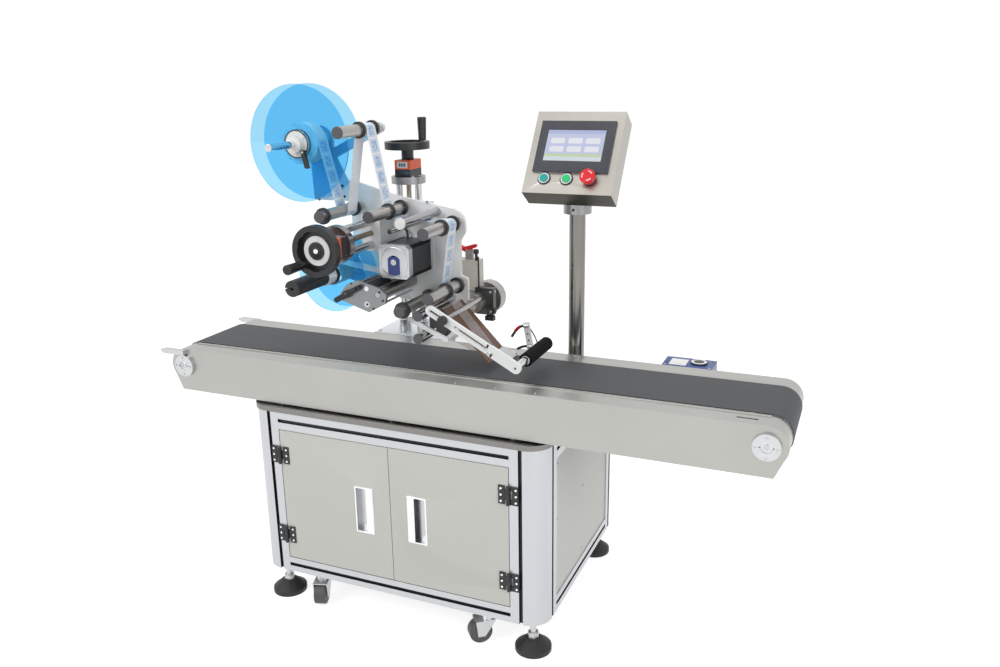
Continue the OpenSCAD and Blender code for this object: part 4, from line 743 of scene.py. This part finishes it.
def column_details():
    """Screws of the flange, base plate and carriage, and digit cells in the column's counter window."""
    flange_r, carriage_face = 39, 337
    screws, cells = Shape(), Shape()
    for across, deep in around(4, 45):
        screws.screw((COLUMN_X + flange_r * across, COLUMN_Y + flange_r * deep, COLUMN_TOP), Z, 8, 3)
    for x in (COLUMN_X - 106, COLUMN_X + 106):
        for y in (350, 472):
            screws.screw((x, y, BEAM_TOP), Z, 9, 4)
    for x in (COLUMN_X - 52, COLUMN_X + 52):
        for z in (CROSS_Z - 43, CROSS_Z + 43):
            screws.screw((x, carriage_face, z), -Y, 8, 2.5)
    window = Shape().box((COLUMN_X - 16, 334.3, 1202), (COLUMN_X + 16, 335.2, 1219))
    for k in range(4):
        x = COLUMN_X - 10 + k * 5.4
        cells.box((x, 334.1, 1206), (x + 3.6, 334.4, 1215))
    window.done("lift_counter_window", window_finish, "machine", "lift_guide")
    screws.done("column_screws", zinc_finish, "machine", "lift_guide")
    cells.done("counter_cells", black_finish, "machine", "levelling_feet")


column_details()

# Labelling head


def over_belt(x, y, z):
    """A place given by its height above the belt."""
    return Vector((x, y, BELT + z))


REEL = (-442, 559)
DRUM_AT, MOTOR_AT = (5, 140), (-150, 273)
PRESS_PIVOT, PRESS_END = (22, 157), (208, 56)
PLATE_FACE, BRACKET_FACE = 215, 225
HUB_COLLAR, HUB_FACE = 98, 114
NIP_FACE, NIP_BACK = 30, 39
WEB_Y, WEB_HALF, WEB_T = 154, 23, 0.6
REST_GAP = 0.3
WRAP_STEPS = 14
# What the web runs round, each with its place, radius and turn of the web: the unwind roll, three rollers,
# the polished rod, two rollers, the peel edge, a lower rod, the nip drive roller, the pinch roller and the
# rewind core.
STOPS = [(REEL, 54, -1), ((-325, 388), 15, 1), ((-256, 596), 15, -1), ((-183, 394), 15, 1),
         ((-92, 384), 12, 1), ((-34, 360), 15, -1), ((-27, 199), 15, 1), ((97, 25), 2, -1),
         ((-58, 97), 13, -1), ((-174, 197), 17.5, -1), ((-205, 211), 15.26, 1), ((-366, 218), 30, 1)]
FIRST_ROLLER, TOP_ROLLER, LAST_ROLLER, PEEL_EDGE, NIP_DRIVE = 1, 2, 6, 7, 9


def web_path():
    """Middle line of the web round its stops, as (place, outward direction, stop)."""
    stops = [(Vector(place), r + REST_GAP + WEB_T / 2, turn) for place, r, turn in STOPS]

    def heading(first, second):
        run = second[0] - first[0]
        return atan2(run.y, run.x) + asin((first[2] * first[1] - second[2] * second[1]) / run.length)

    path = []
    for k, (place, r, turn) in enumerate(stops):
        before = heading(stops[k - 1], stops[k]) if k else heading(stops[0], stops[1])
        after = heading(stops[k], stops[k + 1]) if k < len(stops) - 1 else before
        sweep = (turn * (after - before)) % (2 * pi)
        for n in range(WRAP_STEPS + 1 if sweep > 0.01 else 1):
            angle = before + turn * sweep * n / WRAP_STEPS
            out = turn * Vector((sin(angle), -cos(angle)))
            path.append((place + r * out, out, k))
    return path


def label_web():
    """The web as a ribbon bridged from section to section, its texture running along its length."""
    path, run, spans, runs, rings = web_path(), 0.0, {}, {}, []
    corners = [(end, y) for end, y in ((-1, -1), (-1, 1), (1, 1), (1, -1))]
    ribbon = Shape()
    uv = ribbon.bm.loops.layers.uv.new("run")
    for k, (place, out, stop) in enumerate(path):
        if k:
            run += (place - path[k - 1][0]).length
        spans[stop] = (spans.get(stop, (run, run))[0], run)
        verts = []
        for thick, wide in corners:
            spot = place + out * thick * WEB_T / 2
            verts.append(ribbon.bm.verts.new(over_belt(spot.x, WEB_Y + wide * WEB_HALF, spot.y)))
        runs.update(dict.fromkeys(verts, run))
        rings.append([ribbon.bm.edges.new(pair) for pair in zip(verts, verts[1:] + verts[:1])])
    ribbon.skinned(rings)
    bmesh.ops.holes_fill(ribbon.bm, edges=rings[0] + rings[-1], sides=len(corners))
    for face in ribbon.bm.faces:
        for loop in face.loops:
            loop[uv].uv = (runs[loop.vert] * MM, (loop.vert.co.y - WEB_Y) * MM)
    ends = ((FIRST_ROLLER, 1), (TOP_ROLLER, 0), (LAST_ROLLER, 1), (PEEL_EDGE, 1), (NIP_DRIVE, 0))
    finish = web_finish(*(spans[stop][side] * MM for stop, side in ends))
    ribbon.done("label_web_ribbon", finish, "head", "label_web", ["label_web"], sharp=60)


def web_finish(back_from, back_to, over_plate, peel_edge, nip):
    """Clear liner with printed labels, parted by a bright gap at each pitch. One strand shows the liner's
    pale back, and the strands over the peel plate and back from it are nearly clear."""
    pitch, label_half, print_half = 40 * MM, 18 * MM, 11 * MM
    liner, label_field, ink = (0.84, 0.87, 0.90, 1), (0.60, 0.70, 0.80, 1), (0.20, 0.38, 0.72, 1)
    coat = {"Coat Weight": 0.3, "Coat Roughness": 0.1}
    paint = Paint("label_liner", (0.74, 0.80, 0.85), 0.3, 0.0, **coat)
    along, across, _ = paint.axes(paint.node("ShaderNodeTexCoord", {}, {}, "UV"))
    cell = paint.maths("FRACT", along * (1 / pitch))
    front = 1 - (along > back_from) * (along < back_to)
    label = (cell > 0.1) * (paint.maths("ABSOLUTE", across) < label_half) * (along < over_plate) * front
    mottle = paint.noise(paint.place(), 190.0, 2.0, 0.6)
    field = paint.blend(label, liner, label_field)
    inside = (cell > 0.24) * (cell < 0.88) * (paint.maths("ABSOLUTE", across) < print_half)
    paint.set(Base_Color=paint.blend(label * inside * (mottle > 0.5), field, ink))
    plate_strand = (along > over_plate) * (along < peel_edge)
    return_strand = (along > peel_edge) * (along < nip)
    paint.set(Alpha=1 - plate_strand * 0.88 - return_strand * 0.82)
    return paint.set(Roughness=mottle * 0.2 + 0.2)


CAP_END, COLLAR_T = 24, 9
REEL_FRONT, REEL_BACK, DISC_T = 122, 182, 4
MOTOR_FACE, MOTOR_BELL, MOTOR_FLANGE = 81, 101, 207

refined("head_plate", white_finish)
refined("reel_bracket", white_finish)
refined("stepper_motor", [motor_finish, casting_finish],
        bands(y_zone, (1, None, MOTOR_BELL), (1, MOTOR_FLANGE, None)))
refined("nip_frame", [nip_finish, ground_finish],
        bands(y_zone, (1, NIP_BACK + HAIR, None), (1, None, NIP_FACE - HAIR)))
refined("nip_drive_roller", roller_finish)
refined("nip_pinch_roller", [rubber_finish, ground_finish],
        bands(y_zone, (1, PLATE_FACE - 1, None), (1, None, NIP_BACK + 1 - HAIR)))
refined("nip_lever", black_finish, width=2)
refined("hub_lever", black_finish, width=1.5)
refined("toggle_handle", [red_finish, black_finish], [(1, zone((None, None, None), (-64, None, None)))],
        [(X, -64)], width=1.5)
refined("peel_plate", [peel_finish, black_finish, white_finish],
        bands(y_zone, (2, None, 60 - HAIR), (1, 60, 103 - HAIR)))
refined("head_rods", [rod_finish, cap_finish, black_finish, dial_finish], [
    (3, zone((-110, 14.9, 1085), (-75, 20, 1130))), (1, zone((-72, 19, 806), (-43, CAP_END, 893))),
    (2, zone((8, None, 860), (36, 5.8, 900)))], [(Y, CAP_END)], width=0)
refined("drive_cover", [drum_finish, sheet_box_finish, clamp_finish, drum_finish], [
    (1, zone((-60, 261, 891), (HAIR, 300.1, 973))), (2, zone((-6.1, 256, 830), (46.1, 276, 902))),
    (3, z_zone(973 + HAIR, None))])
refined("press_arm", [white_finish, ground_finish], bands(y_zone, (1, 14 + HAIR, None)))
refined("press_roller", foam_finish, width=1.5)
for k in range(1, 7):
    collar = 36 if k in (1, 6) else 117
    refined("guide_roller_%d" % k, [roller_finish, cap_finish, black_finish], bands(
        y_zone, (1, None, CAP_END), (2, collar, collar + COLLAR_T), (2, REEL_BACK, REEL_BACK + COLLAR_T)),
        [(Y, CAP_END)], width=0.9)
refined("unwind_hub", [casting_finish, chrome_finish, dial_finish, roll_finish], bands(
    y_zone, (1, None, HUB_COLLAR - HAIR), (2, HUB_COLLAR, HUB_FACE), (3, REEL_FRONT + DISC_T, REEL_BACK),
    (1, REEL_BACK + DISC_T, None)))
refined("reel_discs", disc_finish, width=0)
refined("label_roll", roll_finish, width=0)
sleeve_low, sleeve_high = 79, 112
refined("rewind_reel", [disc_finish, rubber_finish, dial_finish, roll_finish, ground_finish], bands(
    y_zone, (1, None, sleeve_low - HAIR), (2, sleeve_low - SEAM, sleeve_high - HAIR),
    (1, sleeve_high - SEAM, REEL_FRONT - HAIR), (0, REEL_FRONT - SEAM, REEL_FRONT + DISC_T),
    (0, REEL_BACK, REEL_BACK + DISC_T), (3, REEL_FRONT + DISC_T + HAIR, REEL_BACK - HAIR),
    (4, REEL_BACK + DISC_T + HAIR, None)), width=0)
label_web()


def head_screws():
    """Screws of the head plate, reel bracket, nip plate, feed motor and the peel plate's block."""
    counterbore = over_belt(-204, NIP_FACE, 171)
    bright, black, dark = Shape(), Shape(), Shape()
    for x, z in ((-118, 408), (-330, 420), (-212, 300), (-278, 300)):
        bright.screw(over_belt(x, PLATE_FACE, z), -Y, 8, 3)
    for x, z in ((-457, 400), (-375, 411), (-380, 440)):
        black.screw(over_belt(x, BRACKET_FACE, z), -Y, 7, 2)
    for x, z in ((-167, 205), (-158, 184), (-186, 161)):
        black.screw(over_belt(x, NIP_FACE, z), -Y, 6, 1.6)
    for x, z in ((-248, 222), (-272, 182)):
        black.turned(over_belt(x, NIP_FACE, z), -Y, [(3, 0), (3, 0.2)], 18)
    bright.turned(counterbore, -Y, [(8, 0), (8, 1), (6.6, 1), (6, 0.3)], 28)
    dark.turned(counterbore, -Y, [(3, 0), (3, 1.4)], 20)
    middle_x, middle_z = MOTOR_AT
    for x in (-35.5, 35.5):
        for z in (-35.5, 35.5):
            black.screw(over_belt(middle_x + x, MOTOR_FLANGE, middle_z + z), -Y, 8, 4)
            bright.screw(over_belt(middle_x + x * 0.93, MOTOR_FACE, middle_z + z * 0.93), -Y, 6, 1.8)
    for z in (142, 116):
        bright.screw(over_belt(-28, 60, z), -Y, 6, 1.6)
    bright.done("head_bright_screws", zinc_finish, "head", "head_rods")
    black.done("head_black_screws", black_finish, "head", "stepper_motor")
    dark.done("nip_counterbore", grip_finish, "head", "stepper_motor")


def motor_details():
    """End bell of the feed motor: raised ring, bare blue plate, shaft screw and laminated body."""
    x, z = MOTOR_AT
    rib_r, body_half = 31, 41.2
    ring = [(39, 0), (39, 1.4), (37.6, 2.2), (35, 2.2), (34.4, 1)]
    bell, plate, lines, lead = Shape(), Shape(), Shape(), Shape()
    bell.turned(over_belt(x, MOTOR_FACE, z), -Y, ring, 64)
    for across, up in around(12):
        stud = over_belt(x + rib_r * across, MOTOR_FACE, z + rib_r * up)
        bell.turned(stud, -Y, [(1.6, 0), (1.4, 0.8)], 12)
    outline = [(-17, -37), (17, -37), (17, 8), (11, 14), (-11, 14), (-17, 8)]
    outline = [(x + across, BELT + z + up) for across, up in outline]
    plate.slab(outline, MOTOR_FACE - 1.8, MOTOR_FACE - 0.8)
    bell.turned(over_belt(x, MOTOR_FACE - 1, z), -Y, [(7.5, 0), (7.5, 2.4), (5, 2.4), (4.6, 1.2)], 32)
    bell.screw(over_belt(x, MOTOR_FACE - 2, z), -Y, 6, 1.6)
    for k in range(20):
        y = 105 + k * 5.2
        lines.box(over_belt(x - body_half, y, z - 41), over_belt(x + body_half, y + 0.7, z + 41))
    lead.cable(curve(over_belt(-170, 196, 314), over_belt(-172, 200, 332), over_belt(-186, 214, 334)), 7)
    bell.done("motor_end_bell", casting_finish, "head", "head_rods")
    plate.done("motor_plate", blue_plate_finish, "head", "stepper_motor")
    lines.done("motor_laminations", black_finish, "head", "stepper_motor")
    lead.done("motor_lead", rubber_finish, "head", "stepper_motor")


def nip_details():
    """Grip blade of the nip lever and the pivot screw on it."""
    blade = Shape().rod(over_belt(-290, 17, 176), over_belt(-226, 17, 213), 7, 12)
    screw = Shape().screw(over_belt(-258, 17.4, 195), -Y, 8, 2)
    blade.done("nip_lever_blade", black_finish, "nip_lever", "nip_lever", width=1)
    screw.done("nip_lever_screw", zinc_finish, "nip_lever", "nip_lever")


def reel_details():
    """Screws of the unwind hub, a black ring at its edge painted as the shadow in the gap between hub and
    disc, its bright shaft end, and the knob of its lever.
    """
    x, z = REEL
    ring, screws, tip = Shape(), Shape(), Shape()
    # Black ring at the hub's edge: painted shadow of the gap between hub and disc.
    ring.turned(over_belt(x, HUB_FACE, z), -Y, [(36.8, 0), (36.8, 0.5), (33.4, 0.5), (33.4, 0)], 64)
    for across, up in around(3, 30):
        screws.screw(over_belt(x + 28 * across, HUB_FACE, z + 28 * up), -Y, 6, 1.6)
    tip.turned(over_belt(x, -6, z), -Y, [(9.4, 0), (9, 0.6), (3, 0.6), (2.6, 0.2)], 32)
    screws.screw(over_belt(x, 102, z + 23), Z, 5, 1.2)
    ring.done("hub_painted_shadow_ring", black_finish, "unwind", "hub_lever")
    screws.done("hub_screws", zinc_finish, "unwind", "unwind_hub")
    tip.done("hub_shaft_end", dial_finish, "unwind", "unwind_hub")
    grip = Shape().rod(over_belt(x + 26, 108, z - 23), over_belt(x + 38, 108, z - 61), 9, 12)
    grip.done("hub_lever_knob", grip_finish, "hub_lever", "hub_lever")


def press_details():
    """Lap joint, screws, scale marks and clamp knob of the press arm, and end rings of the press roller."""
    face, joint, edge, knurl_r = 6, 211.6, 12.6, 10.6
    (x, z), (end_x, end_z) = PRESS_PIVOT, PRESS_END
    run = (over_belt(end_x, 0, end_z) - over_belt(x, 0, z)).normalized()
    side = Vector((-run.z, 0, run.x))

    def along(reach, across=0.0):
        return over_belt(x, face, z) + run * reach + side * across

    def patch(shape, low, high, near, far, front, back=face):
        corners = [along(*spot) for spot in ((low, near), (high, near), (high, far), (low, far))]
        return shape.slab([(corner.x, corner.z) for corner in corners], front, back)

    dark, bright, knob = Shape(), Shape(), Shape()
    bright.screw(along(joint), -Y, 8, 1.4)
    for reach in (128, 146):
        bright.screw(along(reach), -Y, 6, 1.4)
    for reach in (133, 137, 141):
        patch(dark, reach, reach + 1, -12, -6, face - 0.2)
    patch(dark, 124, 129, 3, edge, face - 0.3)
    patch(dark, 142, 147, -3, -edge, face - 0.3)
    block = patch(Shape(), 150, 190, -9, 9, 14.2, 56)
    dark.turned(along(joint) - Y * 1.4, -Y, [(2.6, 0), (2.6, 0.3)], 16)
    for across, up in around(16):
        spot = (x + knurl_r * across, z + knurl_r * up)
        knob.rod(over_belt(spot[0], -7.6, spot[1]), over_belt(spot[0], 5.4, spot[1]), 2.6, 8)
    bright.done("arm_screws", zinc_finish, "press_arm", "press_roller")
    block.done("stub_block", casting_finish, "press_arm", "press_arm", width=1)
    dark.done("arm_marks", black_finish, "press_arm", "press_roller")
    knob.done("press_rod_knurl", grip_finish, "head", "stepper_motor")
    ends = Shape()
    for y, out in ((72, -1), (224, 1)):
        ends.turned(over_belt(end_x, y, end_z), Y * out, [(11, 0), (11, 0.25), (7.4, 0.25), (7.2, 0)], 40)
    ends.done("press_roller_bearings", zinc_finish, "press_roller", "press_roller")


def rear_details():
    """Drum screws, clamp screws, cable down the sheet box, lug by the peel plate, and knob of the toggle."""
    x, z = DRUM_AT
    bright, black, beige, knob = Shape(), Shape(), Shape(), Shape()
    for across, up in around(6, 30):
        bright.screw(over_belt(x + 36 * across, 336, z + 36 * up), Y, 7, 2)
        foot = over_belt(x + 45 * across, 318, z + 45 * up)
        bright.turned(foot, (across, 0, up), [(3.4, -1), (3, 1.2)], 14)
    for up in (30, -24):
        bright.screw(over_belt(38, 256, z + up), -Y, 7, 2)
        bright.screw(over_belt(46, 266, z + up), X, 7, 2)
    for right, up in ((48, 120), (44, 98)):
        black.box(over_belt(right - 24, 258, up - 8), over_belt(right, 274, up + 4))
    down = curve(over_belt(2.4, 262, 250), over_belt(3, 262, 220), over_belt(2.4, 262, 176))
    inward = curve(over_belt(2.4, 262, 170), over_belt(3, 266, 150), over_belt(-6, 284, 150))
    black.cable([over_belt(2.4, 262, 262), *down, *inward], 4.4)
    lug = [(-14, 128), (8, 128), (10, 150), (4, 156), (-10, 154)]
    beige.slab([(across, BELT + up) for across, up in lug], 214, 224.9)
    black.turned(over_belt(-2, 214, 144), -Y, [(3, 0), (3, 0.3)], 16)
    for left, up in ((-54, 176), (-6, 176), (-54, 242), (-6, 242)):
        bright.screw(over_belt(left, 262, up), -Y, 5, 1.2)
    grip_axis, grip = (-0.92, 0, 0.38), [(4.4, -4), (6.6, -1), (6.6, 5), (4.8, 8)]
    knob.turned(over_belt(-80, 284.2, 289.2), grip_axis, grip, 24)
    knob.turned(over_belt(-28, 290, 268), Y, [(7, 0), (6.4, 1.4), (3, 1.4), (2.6, 0.6)], 24)
    blade = [(-46, 272), (-14, 281), (-9, 285), (-11, 291), (-17, 291), (-50, 281)]
    blade = Shape().slab([(across, BELT + up) for across, up in blade], 279, 287)
    black.turned(over_belt(-6, 268, 272), Z, [(6, -4), (7.5, -1), (7.5, 5), (5.5, 8)], 24)
    black.rod(over_belt(-6, 268, 249), over_belt(-6, 268, 270), 8)
    bright.done("rear_screws", zinc_finish, "head", "head_rods")
    black.done("rear_clamp_and_cable", rubber_finish, "head", "stepper_motor")
    beige.done("peel_lug", sheet_box_finish, "head", "head_plate", width=0.8)
    knob.done("toggle_knob", black_finish, "toggle_handle", "hub_lever")
    blade.done("toggle_blade", red_finish, "toggle_handle", "toggle_handle", width=1)


def sensor_details():
    """Two sensor arms on the leaning post, the upper one with a red tip, their screws and lead."""
    refined("product_sensor", [dial_finish, zinc_finish], [(1, z_zone(None, 725.1))], width=0.8)
    lean, high_arm, low_arm = radians(10), 80, 22
    steel, red, black = Shape(), Shape(), Shape()

    def post(up):
        return Vector((138 - up * sin(lean), 294, BEAM_TOP + up * cos(lean)))

    def arm(up, reach, drop):
        start = post(up)
        return curve(start, start + Vector((-reach / 2, -2, 2)), start + Vector((-reach, -4, -drop)))

    for up, reach, drop in ((high_arm, 40, 34), (low_arm, 34, 10)):
        black.cable(arm(up, reach, drop), 7)
        steel.rod(post(up) + Vector((4, 3, 0)), post(up) + Vector((-7, -4, 0)), 11, 16)
    red.cable([spot + Vector((-1.2, -1.6, 1.6)) for spot in arm(high_arm, 40, 34)[3:7]], 6)
    for up in (56, 38):
        black.turned(post(up) + Vector((0, 2, 0)), -Y, [(2.4, 0), (2.4, 0.4)], 14)
    lead = curve(post(78) + Vector((4, 4, 0)), post(40) + Vector((20, 20, 0)), (150, 322, 722))
    black.cable(lead, 3.4)
    steel.done("sensor_clamps", zinc_finish, "machine", "product_sensor")
    red.done("sensor_tip", red_finish, "machine", "stop_button")
    black.done("sensor_arms", rubber_finish, "machine", "levelling_feet")


head_screws()
motor_details()
nip_details()
reel_details()
press_details()
rear_details()
sensor_details()

# Operator panel, drawn in its own axes: across, out of its face towards -Y, and up

PANEL = Matrix.Translation(over_belt(232, 369, 541)) @ Matrix.Rotation(radians(-34), 4, "X")
BUTTONS, BUTTON_Z = (-65, -5, 55), -91
STOP_X = BUTTONS[2]


def on_face(low, high):
    """A test like zone, in the panel's own axes."""
    inside, back = zone(low, high), PANEL.inverted()
    return lambda middle: inside(back @ middle)


refined("panel_pole", pole_finish)
PANEL_FINISHES = [box_finish, bezel_finish, screen_finish, chrome_finish, flange_finish, box_painted_shade_finish]
# The panel box's downward face takes the darker copy of its finish, as painted shade.
underside = on_face((-119, -0.1, -133), (119, 64.1, -132))
screen_glass = on_face((-77, -5.5, -43), (77, -4.5, 47))
bezel = on_face((-101, -6.1, -74), (101, -0.1, 74))
button_rings = on_face((-90, -4.1, -110), (90, -0.1, -75))
pole_collar = z_zone(None, 1119.5)
refined("panel_box", PANEL_FINISHES,
        [(5, underside), (2, screen_glass), (1, bezel), (3, button_rings), (4, pole_collar)], width=0.8)
refined("reset_button", teal_finish, width=1.2)
refined("start_button", green_finish, width=1.2)
refined("stop_button", red_finish, width=2.2)


def screen_picture():
    """Generic screen: a pale field with a green foot, a header band and plain round-cornered keys."""
    glass, edge = -5, 76.4

    def tiles(name, finish, boxes, out):
        shape = Shape()
        for left, low, right, high in boxes:
            r = min(2.5, (right - left) / 4)
            shape.slab([(left + r, low), (right - r, low), (right, low + r), (right, high - r),
                        (right - r, high), (left + r, high), (left, high - r), (left, low + r)],
                       glass - out, glass - 0.02)
        shape.done(name, finish, "panel_box", "panel_box", move=PANEL)

    tiles("screen_band", glow_green_finish, [(-edge, -29, edge, -22)], 0.1)
    tiles("screen_foot", glow_foot_finish, [(-edge, -41.4, edge, -29.4)], 0.1)
    tiles("screen_header", glow_blue_finish, [(-edge, 36, edge, 45.4)], 0.1)
    keys = [(left, low, left + 38, low + 16) for low in (8, -16) for left in (-66, -19, 28)]
    tiles("screen_keys", glow_key_finish, keys, 0.2)


def button_details():
    """Dark seats of the buttons, arcs and collar of the stop button, the pole collar's screw, the box's seam
    and the screws in its back."""
    half_wide, low, high, deep = 118.6, -131, 103, 64
    seats, arcs = Shape(), Shape()
    for x in BUTTONS:
        seats.turned((x, 0, BUTTON_Z), -Y, [(17.5, 0), (17.5, 1.2), (14.6, 1.2), (14.6, 0.6)], 48)
    for first in (30, 150, 270):
        angles = [radians(first + 7 * k) for k in range(9)]
        outer = [(STOP_X + 14 * cos(angle), BUTTON_Z + 14 * sin(angle)) for angle in angles]
        inner = [(STOP_X + 11.6 * cos(angle), BUTTON_Z + 11.6 * sin(angle)) for angle in reversed(angles)]
        arcs.slab(outer + inner, -24.15, -23.9)
    collar = Shape().turned((STOP_X, 0, BUTTON_Z), -Y, [(14.4, 1), (14.4, 4.4), (13.4, 5), (11.4, 5)], 48)
    seats.done("button_seats", rubber_finish, "panel_box", "panel_box", move=PANEL)
    arcs.done("stop_arcs", dial_finish, "stop_button", "stop_button", move=PANEL)
    collar.done("stop_collar", black_finish, "panel_box", "panel_box", move=PANEL)
    set_screw = Shape().screw((236, 348, 1106), -Y, 8, 0.8)
    set_screw.done("collar_set_screw", black_finish, "panel_box", "panel_box")
    seam = Shape().box((-half_wide, deep - 5, low), (half_wide, deep - 4, high))
    seam.done("panel_lid_seam", box_finish, "panel_box", "panel_box", move=PANEL)
    back = Shape()
    for x in (-104, 104):
        for z in (low + 13, high - 13):
            back.screw((x, deep, z), Y, 8, 1.6)
    back.done("panel_back_screws", zinc_finish, "panel_box", "panel_box", move=PANEL)


screen_picture()
button_details()

# Floor, light and background

WHITE_RAYS = ("Is Camera Ray", "Is Glossy Ray", "Is Transmission Ray")


def lamp(name, place, target, size, power):
    data = bpy.data.lights.new(name, "AREA")
    data.shape, data.size, data.energy = "DISK", size, power
    made = bpy.data.objects.new(name, data)
    bpy.context.scene.collection.objects.link(made)
    aim = (Vector(place) - Vector(target)).to_track_quat("Z", "Y")
    made.matrix_world = Matrix.LocRotScale(Vector(place), aim, None)


def white_world():
    """Surroundings that are white where seen, also in metal and glass, and half as bright as a light."""
    world = bpy.data.worlds.new("white_surroundings")
    bpy.context.scene.world = world
    world.use_nodes = True
    tree = world.node_tree
    rays = tree.nodes.new("ShaderNodeLightPath")
    seen = rays.outputs[WHITE_RAYS[0]]
    for ray in WHITE_RAYS[1:]:
        either = tree.nodes.new("ShaderNodeMath")
        either.operation = "MAXIMUM"
        tree.links.new(seen, either.inputs[0])
        tree.links.new(rays.outputs[ray], either.inputs[1])
        seen = either.outputs[0]
    level = tree.nodes.new("ShaderNodeMapRange")
    level.inputs["To Min"].default_value, level.inputs["To Max"].default_value = 0.5, 1.0
    tree.links.new(seen, level.inputs["Value"])
    background = tree.nodes["Background"].inputs
    tree.links.new(level.outputs[0], background["Strength"])
    background["Color"].default_value = (1, 1, 1, 1)


def white_floor():
    """A pale floor that keeps the shadow."""
    bm = bmesh.new()
    bmesh.ops.create_grid(bm, x_segments=1, y_segments=1, size=14)
    mesh = bpy.data.meshes.new("floor")
    bm.to_mesh(mesh)
    bm.free()
    floor = bpy.data.objects.new("floor", mesh)
    bpy.context.scene.collection.objects.link(floor)
    fixed = {"Specular IOR Level": 0.0, "Emission Color": (1, 1, 1, 1)}
    paint = Paint("pale_floor", (0.55, 0.55, 0.55), 0.9, 0.0, **fixed)
    camera, glossy, through = [paint.node("ShaderNodeLightPath", {}, {}, ray) for ray in WHITE_RAYS]
    seen = paint.maths("MAXIMUM", paint.maths("MAXIMUM", camera, glossy), through)
    paint.set(Emission_Strength=seen * 0.78)
    mesh.materials.append(paint.material)


lamp("key_lamp", (-2.2, -3.6, 3.4), (0, 0, 0.7), 2.4, 75)
lamp("fill_lamp", (3.4, -2.2, 2.2), (0, 0, 0.7), 2.6, 45)
lamp("top_lamp", (0.2, 0.6, 4.2), (0, 0, 0.8), 2.4, 40)
white_world()
white_floor()
bpy.context.scene.view_settings.view_transform = "Standard"
